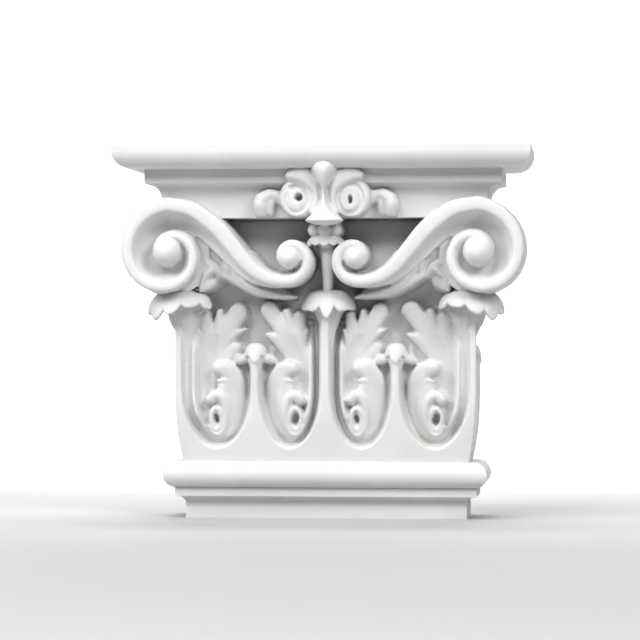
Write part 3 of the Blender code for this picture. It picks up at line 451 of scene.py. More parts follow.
def foot_profile():
    cove_top = (FILLET_OVERHANG, BAND_HEIGHT + FOOT_COVE_HEIGHT)
    fillet_top = cove_top[1] + FILLET_HEIGHT
    half_torus = TORUS_HEIGHT / 2
    inner = TORUS_OVERHANG - half_torus
    profile = [(0.0, 0.0), (0.0, BAND_HEIGHT)]
    profile += arc(profile[-1], cove_top, False, ARC_STEPS)
    profile.append((FILLET_OVERHANG, fillet_top))
    steps = 2 * ARC_STEPS
    for i in range(steps + 1):
        angle = -math.pi / 2 + math.pi * i / steps
        reach = inner + half_torus * math.cos(angle)
        profile.append((reach, fillet_top + half_torus * (1 + math.sin(angle))))
    return profile


def abacus_profile():
    lower_top = ABACUS_FOOT + LOWER_MEMBER_HEIGHT
    profile = [(LOWER_MEMBER_OVERHANG, ABACUS_FOOT), (LOWER_MEMBER_OVERHANG, lower_top)]
    profile += arc(profile[-1], (TIER_OVERHANG - EDGE_RADIUS, TIER_FOOT), False, ARC_STEPS)
    profile.append((TIER_OVERHANG, TIER_FOOT + EDGE_RADIUS))
    profile.append((TIER_OVERHANG, OVOLO_FOOT))
    foot = (OVOLO_FOOT_OVERHANG, OVOLO_FOOT)
    profile.append(foot)
    profile += arc(foot, (OVOLO_OVERHANG, OVOLO_FOOT + OVOLO_HEIGHT), True, ARC_STEPS)
    profile.append((OVOLO_OVERHANG, TOTAL_HEIGHT - EDGE_RADIUS))
    profile.append((OVOLO_OVERHANG - EDGE_RADIUS, TOTAL_HEIGHT))
    return profile


def body_profile():
    """Foot, bell and abacus in one."""
    lean = NECK_FOOT + BELL_PLUMB
    bell = [(-BELL_INSET, NECK_FOOT), (-BELL_INSET, lean)]
    bell += arc(bell[-1], (-BELL_TOP_INSET, ABACUS_FOOT), False, ARC_STEPS)
    return foot_profile() + bell + abacus_profile()


def niches(sign=None):
    """Niches as (edge beside the tall leaf, direction across, width, kind of leaves)."""
    outer = HALF_SHAFT / 2 + CORNER_RIB_SET - SHORT_RIB_WIDTH / 2
    inner = HALF_SHAFT / 2 - (CENTRE_RIB_WIDTH + SHORT_RIB_WIDTH) / 2
    deep = SHAFT_DEPTH + CORNER_RIB_SET - WALL_RIB_WIDTH
    corner = HALF_SHAFT + CORNER_RIB_SET
    centre = CENTRE_RIB_WIDTH / 2
    if sign:
        return [(CORNER_RIB_SET, -1, deep, "slit")]
    left = [(-corner, 1, outer, "slit"), (-centre, -1, inner, "round")]
    return left + [(centre, 1, inner, "slit"), (corner, -1, outer, "round")]


def soft_max(first, second, blend):
    """The higher of two reliefs with a fillet where they meet."""
    share = np.clip(0.5 + (first - second) / (2 * blend), 0.0, 1.0)
    return second + (first - second) * share + blend * share * (1 - share)


def smooth_step(value, low, high):
    t = np.clip((value - low) / (high - low), 0.0, 1.0)
    return t * t * (3 - 2 * t)


def oval_rows(centre, radii, turns, first, last, count=10):
    """Rows along part of an oval: turns in degrees from its top, values running from first to last."""
    rows = []
    for share in np.linspace(0.0, 1.0, count):
        angle = math.radians(turns[0] + (turns[1] - turns[0]) * share)
        spot = (centre[0] + radii[0] * math.sin(angle), centre[1] + radii[1] * math.cos(angle))
        rows.append(spot + tuple(a + (b - a) * share for a, b in zip(first, last)))
    return rows


def stroke_depth(across, up, rows, steps=5):
    """Distance inside a stroke that follows rows of (a, z, half width), negative outside it."""
    depth = np.full(across.shape, -1.0)
    for a, z, half in smooth_rows(rows, steps):
        depth = np.maximum(depth, half - np.hypot(across - a, up - z))
    return depth


def pillow(depth, edge, crown):
    """Rounded edge of a carved shape: level inside, and falling away outside its outline."""
    t = np.clip(depth / edge, 0.0, 1.0)
    return crown * (np.sqrt(1 - (1 - t) ** 2) - 1) - 10.0 * np.maximum(-depth, 0.0)


def groove(across, up, rows, steps=4):
    """Depth of a rounded groove that follows rows of (a, z, depth, half width)."""
    cut = np.zeros(across.shape)
    for a, z, deep, half in smooth_rows(rows, steps):
        reach = np.hypot(across - a, up - z) / half
        cut = np.maximum(cut, deep * np.clip(1 - reach * reach, 0.0, 1.0))
    return cut


def bump(across, up, rows, drop=0.0018, steps=5):
    """Relief of a rounded lobe that follows rows of (a, z, h, half width)."""
    top = np.full(across.shape, -0.1)
    for a, z, h, half in smooth_rows(rows, steps):
        reach = np.hypot(across - a, up - z)
        fall = drop * (reach / half) ** 2 + 7.0 * np.maximum(reach - half, 0.0)
        top = np.maximum(top, h - fall)
    return top


def face_height(up):
    """Overhang of the neck's own face, hollow at its foot and plumb above."""
    t = np.clip((up - NECK_FOOT) / (0.62 * NECK_HEIGHT), 0.0, 1.0)
    return NECK_FOOT_OVERHANG + (NECK_OVERHANG - NECK_FOOT_OVERHANG) * (1 - (1 - t) ** 2.6)


def niche_depth(across, up, width):
    """Distance inside a niche's edge, negative outside it."""
    sill = NECK_FOOT + NICHE_SILL
    middle = width / 2
    curve = lambda t: middle * np.sqrt(1 - (1 - np.clip(t, 0.0, 1.0)) ** 2.2)
    t = np.linspace(0.0, 1.0, 48) ** 2
    rise = sill + NICHE_CURVE_HEIGHT * np.linspace(1.0, 2.6, 30)
    side = np.concatenate([curve(t), np.full(30, middle)])
    level = np.concatenate([sill + NICHE_CURVE_HEIGHT * t, rise])
    nearest = np.full(across.shape, 1.0)
    for a, z in zip(side, level):
        nearest = np.minimum(nearest, np.hypot(np.abs(across - middle) - a, up - z))
    inside = np.abs(across - middle) < curve((up - sill) / NICHE_CURVE_HEIGHT)
    return np.where(inside & (up > sill), nearest, -nearest)


def niche_wall(depth, across, up, width, crest):
    """Edge, channel, leaf margin and hollow of a niche, read off by distance from its edge."""
    top = NECK_OVERHANG
    low = top - CHANNEL_DEPTH
    rows = (
        (-0.0012, 0.0002),
        (-0.0002, -0.0003),
        (0.0006, -0.0016),
        (0.0014, -0.0050),
        (0.0023, 0.0050 - CHANNEL_DEPTH),
        (0.0032, 0.0016 - CHANNEL_DEPTH),
        (0.0044, 0.0002 - CHANNEL_DEPTH),
        (0.0070, -CHANNEL_DEPTH),
        (0.0200, -CHANNEL_DEPTH),
    )
    table = smooth_rows(rows, 4)
    height = top + np.interp(depth, table[:, 0], table[:, 1])
    margin = (
        (0.0048, 0.0),
        (0.0055, 0.0030),
        (0.0063, 0.0080),
        (0.0074, 0.0102),
        (0.0088, 0.0100),
        (0.0100, 0.0080),
        (0.0109, 0.0048),
        (0.0122, 0.0030),
        (0.0200, 0.0024),
    )
    table = smooth_rows(margin, 4)
    share = smooth_step(width / 2 - across, -0.002, 0.012) * smooth_step(up - NECK_FOOT, 0.016, 0.036)
    height = height + (0.30 + (crest - 0.30) * share) * np.interp(depth, table[:, 0], table[:, 1])
    open_above = smooth_step(up, NECK_FOOT + 0.077, NECK_FOOT + 0.095)
    height = height - 0.0095 * open_above * smooth_step(depth, 0.0020, 0.0060)
    return np.where(depth > -0.0011, height, 0.05)


def tall_frond(across, up, width, kind):
    """Half of a tall leaf: across counts from the edge beside the tall leaf."""
    a = across * TALL_WIDTHS[kind] / width
    z = up - NECK_FOOT
    levels = (0.045, 0.062, 0.080, 0.095, 0.110)
    face = np.interp(z, levels, (-0.0044, -0.0028, -0.0004, 0.0020, 0.0044))
    relief = np.full(a.shape, -0.1)
    for lobe in TALL_LOBES[kind]:
        relief = soft_max(relief, face + pillow(stroke_depth(a, z, lobe), 0.0046, 0.0034), 0.0003)
    hollow = [(0.0150, 0.0480, 0.0022, 0.0056), (0.0168, 0.0640, 0.0026, 0.0066)]
    hollow += [(0.0196, 0.0780, 0.0020, 0.0060), (0.0230, 0.0880, 0.0008, 0.0040)]
    return relief - groove(a, z, hollow)


def short_frond(across, up, kind):
    """Half of a short leaf with its curl: across counts from the edge beside the short rib."""
    z = up - NECK_FOOT
    levels = (0.018, 0.030, 0.045, 0.058, 0.070)
    low = np.interp(z, levels, (-0.0036, -0.0018, 0.0010, 0.0040, 0.0062))
    high = np.interp(z, levels, (-0.0008, 0.0016, 0.0046, 0.0062, 0.0066))
    low = low - 0.30 * np.maximum(0.0190 - across, 0.0)
    relief = low + pillow(stroke_depth(across, z, SHORT_BODY), 0.0046, 0.0036)
    relief = soft_max(relief, low + pillow(stroke_depth(across, z, SHORT_TOOTH), 0.0030, 0.0026), 0.0003)
    bed = 0.4 * low + 0.6 * high + pillow(stroke_depth(across, z, CURL_BED), 0.0040, 0.0030)
    relief = soft_max(relief, bed - 0.0018, 0.0004)
    arc_rows = oval_rows(*CURL_ARC, (0.0038,), (0.0017,), 14)
    ring_rows = oval_rows(*CURL_RING, (0.0022,), (0.0018,), 14)
    for rows in (arc_rows, ring_rows):
        relief = soft_max(relief, high + pillow(stroke_depth(across, z, rows, 3), 0.0034, 0.0034), 0.0003)
    wide, tall = EYE_HALVES[kind]
    lean = across - EYE[0] - 0.25 * (z - EYE[1])
    inside = (lean / wide) ** 2 + ((z - EYE[1]) / tall) ** 2
    return relief - 0.0080 * np.clip(1 - inside, 0.0, 1.0) ** 0.6


def neck_relief(across, up, sign=None):
    """Height of the neck over the shaft's face, with its ribs, niches and leaves."""
    relief = face_height(up)
    leaves = np.full(across.shape, -0.1)
    for edge, way, width, kind in niches(sign):
        local = (across - edge) * way
        depth = niche_depth(local, up, width)
        crest = 1.35 if sign or abs(edge) > HALF_SHAFT else 1.0
        relief = np.minimum(relief, niche_wall(depth, local, up, width, crest))
        beyond = 2.5 * np.maximum(-local, 0.0) + 2.5 * np.maximum(local - width - 0.003, 0.0)
        leaves = soft_max(leaves, tall_frond(local, up, width, kind) - beyond, 0.0009)
        leaves = soft_max(leaves, short_frond(width - local, up, kind) - beyond, 0.0009)
        stub = np.abs(local - width - SHORT_RIB_WIDTH / 2) < 0.008
        fall = 0.02 * smooth_step(up, NECK_FOOT + BUD_HEIGHT - 0.008, NECK_FOOT + BUD_HEIGHT)
        relief = np.where(stub, relief - fall, relief)
    relief = relief - 0.02 * smooth_step(up, NECK_FOOT + 0.100, NECK_FOOT + 0.108)
    return soft_max(relief, leaves, 0.0008)


def neck_side(bm, place, low, high, mitred, sign=None):
    """A face of the neck as a loft of its cross sections, mitred to its neighbours."""
    rings = []
    root = -0.016
    levels = np.arange(NECK_FOOT - 0.003, NECK_FOOT + 0.118, GRID)
    count = int((high - low) / GRID)
    for z in levels:
        face = float(face_height(z))
        trim = NECK_OVERHANG - face
        start = low + (trim if mitred[0] else 0.0)
        end = high - (trim if mitred[1] else 0.0)
        across = np.linspace(start, end, count)
        heights = np.maximum(neck_relief(across, np.full(count, z), sign), root + 0.0004)
        ring = [place(a, h, z) for a, h in zip(across, heights)]
        inset = face - root - 0.0008
        ring.append(place(end - (inset if mitred[1] else 0.0), root, z))
        ring.append(place(start + (inset if mitred[0] else 0.0), root, z))
        rings.append(ring)
    loft(bm, rings)


def neck(bm):
    corner = HALF_SHAFT + NECK_OVERHANG
    neck_side(bm, front, -corner, corner, (True, True))
    for sign in (-1, 1):
        neck_side(bm, side_face(sign), -SHAFT_DEPTH - BACK_SPARE, NECK_OVERHANG, (False, True), sign)


def rim_end(turn, lobes, notch):
    """Degrees down the dome where a hood's rim ends: lobes of (degrees, spread, end, roundness)."""
    end = notch
    for middle, spread, low, roundness in lobes:
        t = abs(abs(turn) - middle) / spread
        if t < 1:
            end = max(end, notch + (low - notch) * (1 - t * t) ** roundness)
    return end


def hood(bm, spot, facing, radius, falls, lobes, notch):
    """A leaf tip that curls over: a thick dome cut to a rim of lobes, with its depth by degrees."""
    sides = 144
    thick = 0.14 * radius + 0.0006
    rings = []

    def ring(share, inset, past):
        points = []
        for k in range(sides):
            turn = -180 + 360 * k / sides
            end = rim_end(turn, lobes, notch)
            bend = math.radians(end * share + past)
            fall = float(np.interp(abs(turn), *falls))
            puff = 1 + 0.06 * share**3 * (end - notch) / (90 - notch)
            away = (radius * puff - inset) * math.sin(bend) ** 0.55
            drop = inset + (fall - inset) * (1 - math.cos(bend))
            angle = math.radians(facing + turn)
            points.append(spot + Vector((away * math.sin(angle), -away * math.cos(angle), -drop)))
        rings.append(points)

    for share in (0.02, 0.1, 0.2, 0.32, 0.44, 0.56, 0.68, 0.78, 0.87, 0.94, 1.0):
        ring(share, 0.0, 0.0)
    ring(1.0, 0.25 * thick, 4.0)
    ring(1.0, 0.60 * thick, 4.5)
    for share in (1.0, 0.9, 0.78, 0.64, 0.5, 0.3, 0.02):
        ring(share, thick, 0.0)
    loft(bm, rings)


def leaf_stem(bm, spot, reach, shape):
    """The trumpet under a hood, fluted on its way up from the rib."""
    rows = smooth_rows([(s, reach * r, reach * r) for s, r in shape], 3)
    turned(bm, lambda s, u, v: spot + Vector((u, -v, s)), rows, sides=48, folds=12, depth=0.05)


def short_bud(bm, place, a, facing):
    """The short leaf's tip: a dome with a pointed lip, and a drooping flap at each side."""
    top = NECK_FOOT + BUD_HEIGHT
    spot = place(a, BUD_SET, top)
    hood(bm, spot, facing, BUD_RADIUS, BUD_FALLS, BUD_LOBES, 64)
    leaf_stem(bm, spot, BUD_RADIUS * 1.05, MIDDLE_STEM)
    for side in (-1, 1):
        flap = [
            (a + side * 0.0030, top - 0.0106, BUD_SET + 0.0026, 0.0026),
            (a + side * 0.0078, top - 0.0110, BUD_SET + 0.0026, 0.0034),
            (a + side * 0.0120, top - 0.0124, BUD_SET + 0.0012, 0.0034),
            (a + side * 0.0152, top - 0.0140, BUD_SET - 0.0012, 0.0016),
        ]
        petal(bm, place, flap, root=-0.012, dish=-0.0006, drop=0.0026)


def tall_tips(bm):
    top = NECK_FOOT + HOOD_TOP
    spot = front(MIDDLE_SET, -0.0010, top)
    leaf_stem(bm, spot, HOOD_RADIUS, MIDDLE_STEM)
    hood(bm, spot, 0, HOOD_RADIUS, MIDDLE_FALLS, MIDDLE_LOBES, 56)
    for sign in (-1, 1):
        stem = front(sign * (HALF_SHAFT + 0.0004), -0.0024, top)
        leaf_stem(bm, stem, CORNER_HOOD_RADIUS, CORNER_STEM)
        spot = front(sign * (HALF_SHAFT + CORNER_HOOD_SET), CORNER_HOOD_SET - 0.0010, top)
        hood(bm, spot, sign * 45, CORNER_HOOD_RADIUS, CORNER_FALLS, CORNER_LOBES, 64)


def scroll_rows():
    """Middle line of the scroll band: rows of (a, z, h, half width, channel)."""
    a0 = VOLUTE_REACH - VOLUTE_CENTRE
    z0 = ABACUS_FOOT - VOLUTE_DROP
    rows = []
    for turn in range(470, -1, -10):
        shrink = 1 - 0.45 * (max(turn - 270, 0) / 180) ** 1.5
        r = VOLUTE_RADIUS * 0.806 ** (turn / 90) * shrink
        angle = math.radians(turn)
        share = max(1 - turn / 450, 0.0)
        half = 0.0024 + 0.0024 * share**1.6
        channel = 0.0024 + 0.0082 * min(share / 0.6, 1.0) ** 1.5
        rows.append((a0 + r * math.sin(angle), z0 + r * math.cos(angle), VOLUTE_FACE, half, channel))
    a1, z1 = SCROLL_OFFSET, ABACUS_FOOT - SCROLL_DROP
    bridge = (
        rows[-1],
        (a0 - 0.0155, z0 + 0.0324, VOLUTE_FACE, 0.0051, 0.0100),
        (a0 - 0.0256, z0 + 0.0266, VOLUTE_FACE - 0.0002, 0.0054, 0.0095),
        (a0 - 0.0362, z0 + 0.0178, VOLUTE_FACE - 0.0006, 0.0056, 0.0085),
        (a0 - 0.0470, z0 + 0.0050, VOLUTE_FACE - 0.0014, 0.0053, 0.0070),
        (a0 - 0.0592, z0 - 0.0094, VOLUTE_FACE - 0.0026, 0.0047, 0.0045),
        (a0 - 0.0700, z0 - 0.0164, VOLUTE_FACE - 0.0036, 0.0041, 0.0020),
        (a1 + 0.0060, z1 - 0.0162, SCROLL_FACE + 0.0002, 0.0036, 0.0010),
    )
    rows += [tuple(row) for row in smooth_rows(bridge, 6)[1:-1]]
    for turn in range(-15, 311, 15):
        r = 0.0161 * 0.752 ** (turn / 90) * (1 - 0.16 * max(turn - 180, 0) / 90)
        angle = math.radians(turn)
        half = 0.0034 - 0.0012 * max(turn, 0) / 270
        rows.append((a1 - r * math.sin(angle), z1 - r * math.cos(angle), SCROLL_FACE, half, 0.0008))
    return rows


def scroll_band(bm, place):
    """The S-shaped band with a flat rim and, inside the big turn, a dished channel."""
    path = smooth_rows(scroll_rows(), 1)
    flat = path[:, :2]
    along = np.gradient(flat, axis=0)
    along /= np.linalg.norm(along, axis=1)[:, None]
    rings = []
    for (a, z, h, half, channel), (ta, tz) in zip(path, along):
        outer = np.array((tz, -ta))
        depth = CHANNEL_FALL * channel
        back = -0.012
        flare = 0.0030 if channel < 0.0060 else 0.0004
        section = [
            (half + 0.0006 + flare, back),
            (half + 0.0004 + 0.5 * flare, h - 0.0100),
            (half + 0.0001, h - 0.0022),
            (half - 0.0006, h - 0.0007),
            (half - 0.0020, h),
            (0.0, h + 0.0002),
            (-half + 0.0020, h),
            (-half + 0.0006, h - 0.0006),
        ]
        for s in (0.08, 0.25, 0.5, 0.75, 1.0):
            fall = depth * (1 - (1 - s) ** 2.2)
            section.append((-half - channel * s, h - 0.0010 - fall))
        section.append((-half - channel - 0.0004, h - 0.0016 - depth))
        section.append((-half - channel - 0.0004, back))
        rings.append([place(a + n * outer[0], up, z + n * outer[1]) for n, up in section])
    loft(bm, rings)


def volute_back(bm, place):
    """The disc behind the big turn and the bolster that carries it to the wall."""
    a0 = VOLUTE_REACH - VOLUTE_CENTRE
    z0 = ABACUS_FOOT - VOLUTE_DROP
    levels = (
        (-SHAFT_DEPTH - 0.004, 0.0270),
        (-SHAFT_DEPTH + 0.006, 0.0262),
        (-SHAFT_DEPTH + 0.014, 0.0215),
        (-SHAFT_DEPTH + 0.026, BOLSTER_WAIST),
        (-SHAFT_DEPTH + 0.040, 0.0205),
        (-0.0040, 0.0262),
        (0.0020, 0.0282),
        (0.0150, 0.0282),
    )
    rows = [(s, r, r) for s, r in levels]
    to_space = lambda s, u, v: place(a0 + u, s, z0 - 0.0015 + v)
    turned(bm, to_space, rows, sides=28)


def domed(bm, place, spot, root, face, radius):
    """A ball that stands out of a scroll, from its root to a dome at its face."""
    rows = [(root, 1.15 * radius, 1.15 * radius)]
    for share in (0.0, 0.3, 0.5, 0.7, 0.85, 0.95, 1.0):
        r = radius * max(math.sqrt(1 - share * share), 0.06)
        rows.append((face - 0.0050 + 1.04 * 0.0100 * share, r, r))
    turned(bm, lambda s, u, v: place(spot[0] + u, s, spot[1] + v), rows, sides=32)


def scroll_eyes(bm, place):
    """Balls at the hearts of the big and small scrolls."""
    heart = (VOLUTE_REACH - VOLUTE_CENTRE, ABACUS_FOOT - VOLUTE_DROP + 0.0018)
    domed(bm, place, heart, 0.0, VOLUTE_FACE, EYE_RADIUS)
    domed(bm, place, (SCROLL_OFFSET, ABACUS_FOOT - SCROLL_DROP), -0.012, SCROLL_FACE, SCROLL_EYE_RADIUS)


def relief_patch(bm, place, spans, root, height):
    """A carved patch on a face, lofted from its level cross sections."""
    (low, high), (foot, top) = spans
    across = np.linspace(low, high, int((high - low) / GRID))
    rings = []
    for z in np.arange(foot, top, GRID):
        heights = np.maximum(height(across, np.full(across.shape, z)), root + 0.001)
        ring = [place(a, h, z) for a, h in zip(across, heights)]
        rings.append(ring + [place(high, root, z), place(low, root, z)])
    loft(bm, rings)


def sheath(bm, place):
    """The leaf that wraps the scroll band from below, with ruffled tips beside the big turn."""
    z0 = ABACUS_FOOT

    def height(across, up):
        z = up - z0
        relief = bump(across, z, SHEATH_WEB, 0.0012)
        for rows in SHEATH_FOLDS:
            relief = soft_max(relief, bump(across, z, rows, 0.0014), 0.0008)
        return relief

    relief_patch(bm, place, ((0.006, 0.096), (z0 - 0.061, z0 - 0.006)), -0.0310, height)


def oval_depth(across, z, middle, halves):
    """About how deep a point lies inside an oval."""
    reach = np.hypot((across - middle[0]) / halves[0], (z - middle[1]) / halves[1])
    return (1 - reach) * min(halves)


def rosette(across, z, slit):
    """One rolled petal of the flower with its flap, and the small bud beside it."""
    a, r = ROSETTE_OFFSET, ROSETTE_RADIUS
    relief = 0.0305 + pillow(oval_depth(across, z, (a, 0.0140), (r, r + 0.0006)), 0.0050, 0.0052)
    if slit:
        bowl = ((a - 0.0010, 0.0130), (0.0086, 0.0104), (30, -320), (0.0026, 0.0024), (0.0020, 0.0022))
        hole = (a - 0.0006, 0.0122, 0.0013, 0.0042)
        heart = ((a - 0.0006, 0.0122), (0.0062, 0.0088))
    else:
        bowl = ((a + 0.0016, 0.0125), (0.0073, 0.0093), (30, -290), (0.0034, 0.0022), (0.0012, 0.0014))
        hole = (a - 0.0002, 0.0138, 0.0030, 0.0030)
        heart = ((a + 0.0012, 0.0122), (0.0076, 0.0088))
    relief = relief - groove(across, z, oval_rows(*bowl, 14))
    relief = soft_max(relief, 0.0312 + pillow(oval_depth(across, z, *heart), 0.0050, 0.0052), 0.0005)
    relief = soft_max(relief, 0.0345 + pillow(stroke_depth(across, z, FLAP), 0.0040, 0.0042), 0.0005)
    bud = [(BUD_OFFSET + 0.0004, 0.0040, 0.0262, 0.0042), (BUD_OFFSET + 0.0010, 0.0090, 0.0285, 0.0046)]
    bud += [(BUD_OFFSET + 0.0004, 0.0130, 0.0275, 0.0042)]
    arch = [(BUD_OFFSET + 0.0004, 0.0130, 0.0270, 0.0040), (BUD_OFFSET - 0.0050, 0.0162, 0.0255, 0.0036)]
    arch += [(BUD_OFFSET - 0.0100, 0.0158, 0.0235, 0.0036), (a + 0.0110, 0.0130, 0.0225, 0.0050)]
    inner = [(BUD_OFFSET - 0.0058, 0.0040, 0.0215, 0.0030), (BUD_OFFSET - 0.0062, 0.0110, 0.0235, 0.0034)]
    for rows, drop in ((bud, 0.0036), (arch, 0.0020), (inner, 0.0022)):
        relief = soft_max(relief, bump(across, z, rows, drop, 4), 0.0004)
    inside = ((across - hole[0]) / hole[2]) ** 2 + ((z - hole[1]) / hole[3]) ** 2
    return relief - 0.0110 * np.sqrt(np.clip(1 - inside, 0.0, 1.0))


def flower(bm):
    def height(across, up):
        local = across - MIDDLE_SET
        z = up - ABACUS_FOOT
        left = rosette(-local, z, False)
        right = rosette(local, z, True)
        return np.where(local < 0, left, right)

    reach = BUD_OFFSET + 0.010
    spans = ((MIDDLE_SET - reach, MIDDLE_SET + reach), (ABACUS_FOOT + 0.0002, TOTAL_HEIGHT - 0.0080))
    relief_patch(bm, front, spans, 0.0100, height)


def pistil(bm):
    """The middle of the flower: a drop, a thin waist and a trumpet foot."""
    z0 = ABACUS_FOOT
    levels = (
        (-0.0055, 0.0060, 0.0090),
        (-0.0030, 0.0134, 0.0150),
        (-0.0005, 0.0116, 0.0130),
        (0.0040, 0.0066, 0.0100),
        (0.0100, 0.0032, 0.0084),
        (0.0165, 0.0012, 0.0080),
        (0.0205, 0.0018, 0.0092),
        (0.0250, 0.0042, 0.0120),
        (0.0300, 0.0074, 0.0140),
        (0.0345, 0.0094, 0.0144),
        (0.0380, 0.0086, 0.0126),
        (0.0400, 0.0052, 0.0086),
        (0.0406, 0.0020, 0.0050),
    )
    out = SHAFT_DEPTH + 0.0310
    to_space = lambda s, u, v: Vector((MIDDLE_SET + u, WALL_Y - out - v, z0 + s))
    turned(bm, to_space, smooth_rows(levels, 3), sides=24)
    root = ((z0 - 0.004, 0.0100, 0.026), (z0 + 0.004, 0.0070, 0.026), (z0 + 0.030, 0.0060, 0.024))
    body = lambda s, u, v: Vector((MIDDLE_SET + u, WALL_Y - SHAFT_DEPTH - 0.008 - v, s))
    turned(bm, body, root, sides=12)


def beads_and_stem(bm):
    """Berries over a ragged frill under the flower, on a stem that reaches the middle hood."""
    z = ABACUS_FOOT - 0.0086
    middle = Vector((MIDDLE_SET - 0.0012, WALL_Y - SHAFT_DEPTH - 0.0080, z))
    for turn in (-128, -50, 0, 50, 128):
        angle = math.radians(turn)
        centre = middle + 0.0106 * Vector((math.sin(angle), -math.cos(angle), 0.0))
        ball(bm, centre, (0.0044, 0.0044, 0.0047))
    core = ((-0.0110, 0.0060, 0.0070), (0.0, 0.0090, 0.0090), (0.0080, 0.0080, 0.0080))
    turned(bm, lambda s, u, v: middle + Vector((u, -v, s)), core, sides=24)
    hood(bm, middle + Vector((0.0, 0.0, -0.0030)), 0, 0.0136, FRILL_FALLS, FRILL_LOBES, 64)
    hood_top = NECK_FOOT + HOOD_TOP
    stem = [
        (MIDDLE_SET, z - 0.0080, 0.0120, 0.0066),
        (MIDDLE_SET, z - 0.0150, 0.0112, 0.0056),
        (MIDDLE_SET, z - 0.0250, 0.0100, 0.0044),
        (MIDDLE_SET, z - 0.0360, 0.0100, 0.0036),
        (MIDDLE_SET, hood_top - 0.0060, 0.0100, 0.0034),
    ]
    petal(bm, front, stem, dish=-0.0008, drop=0.0030)


def mesh_object(name, bm, collection):
    bmesh.ops.recalc_face_normals(bm, faces=bm.faces)
    mesh = bpy.data.meshes.new(name)
    bm.to_mesh(mesh)
    bm.free()
    obj = bpy.data.objects.new(name, mesh)
    collection.objects.link(obj)
    return obj


def applied(obj):
    """The object's mesh with its modifiers worked in."""
    graph = bpy.context.evaluated_depsgraph_get()
    return bpy.data.meshes.new_from_object(obj.evaluated_get(graph))


def outer_skin(mesh):
    """Fills what is sealed inside by keeping the largest closed skin alone."""
    bm = bmesh.new()
    bm.from_mesh(mesh)
    bm.verts.ensure_lookup_table()
    left = set(bm.verts)
    skins = []
    while left:
        skin, edge = set(), [next(iter(left))]
        while edge:
            vert = edge.pop()
            if vert not in skin:
                skin.add(vert)
                edge.extend(link.other_vert(vert) for link in vert.link_edges)
        skins.append(skin)
        left -= skin
    keep = max(skins, key=lambda skin: max(v.co.x for v in skin) - min(v.co.x for v in skin))
    bmesh.ops.delete(bm, geom=[v for v in bm.verts if v not in keep], context="VERTS")
    bm.to_mesh(mesh)
    bm.free()
    return mesh


def fused(name, bm):
    """One skin over overlapping shapes, softened and cut off at the wall."""
    obj = mesh_object(name, bm, bpy.context.scene.collection)
    fuse = obj.modifiers.new("fuse", "REMESH")
    fuse.mode = "VOXEL"
    fuse.voxel_size = VOXEL
    skin = outer_skin(applied(obj))
    obj.modifiers.clear()
    obj.data = skin
    skin.calc_loop_triangles()
    soften = obj.modifiers.new("soften", "SMOOTH")
    soften.factor = 0.5
    soften.iterations = 3
    thin = obj.modifiers.new("thin", "DECIMATE")
    thin.ratio = min(1.0, PIECE_TRIANGLES / len(skin.loop_triangles))
    skin = applied(obj)
    obj.modifiers.clear()
    obj.data = at_wall(skin)
    obj.data.shade_smooth()
    return obj


def at_wall(mesh):
    """The mesh cut flat at the wall, a hair short of the mouldings' back so that the two don't clash."""
    wall = WALL_Y - BACK_GAP
    bm = bmesh.new()
    bm.from_mesh(mesh)
    geom = bm.verts[:] + bm.edges[:] + bm.faces[:]
    cut = bmesh.ops.bisect_plane(
        bm, geom=geom, dist=1e-6, plane_co=(0, wall, 0), plane_no=(0, 1, 0), clear_outer=True
    )
    rim = [item for item in cut["geom_cut"] if isinstance(item, bmesh.types.BMEdge)]
    if rim:
        bmesh.ops.triangle_fill(bm, edges=rim, use_beauty=True, normal=(0, 1, 0))
    bm.to_mesh(mesh)
    bm.free()
    return mesh


def mouldings():
    bm = bmesh.new()
    stack(bm, body_profile(), 0.0)
    obj = mesh_object("mouldings", bm, bpy.context.scene.collection)
    obj.data.shade_smooth()
    obj.data.set_sharp_from_angle(angle=math.radians(32))
    bevel = obj.modifiers.new("edges", "BEVEL")
    bevel.width = 0.0005
    bevel.segments = 3
    bevel.limit_method = "ANGLE"
    bevel.angle_limit = math.radians(32)
    bevel.harden_normals = True
    return obj


def leaves():
    bm = bmesh.new()
    neck(bm)
    for sign in (-1, 1):
        short_bud(bm, front, sign * HALF_SHAFT / 2, 0)
        short_bud(bm, side_face(sign), WALL_RIB_WIDTH - SHORT_RIB_WIDTH / 2 - SHAFT_DEPTH, sign * 90)
    tall_tips(bm)
    return fused("leaves", bm)


def scroll(sign):
    bm = bmesh.new()
    place = mirrored(front, sign)
    scroll_band(bm, place)
    volute_back(bm, place)
    scroll_eyes(bm, place)
    sheath(bm, place)
    return fused("scroll_left" if sign < 0 else "scroll_right", bm)


def flower_and_stem():
    bm = bmesh.new()
    flower(bm)
    pistil(bm)
    beads_and_stem(bm)
    return fused("flower", bm)


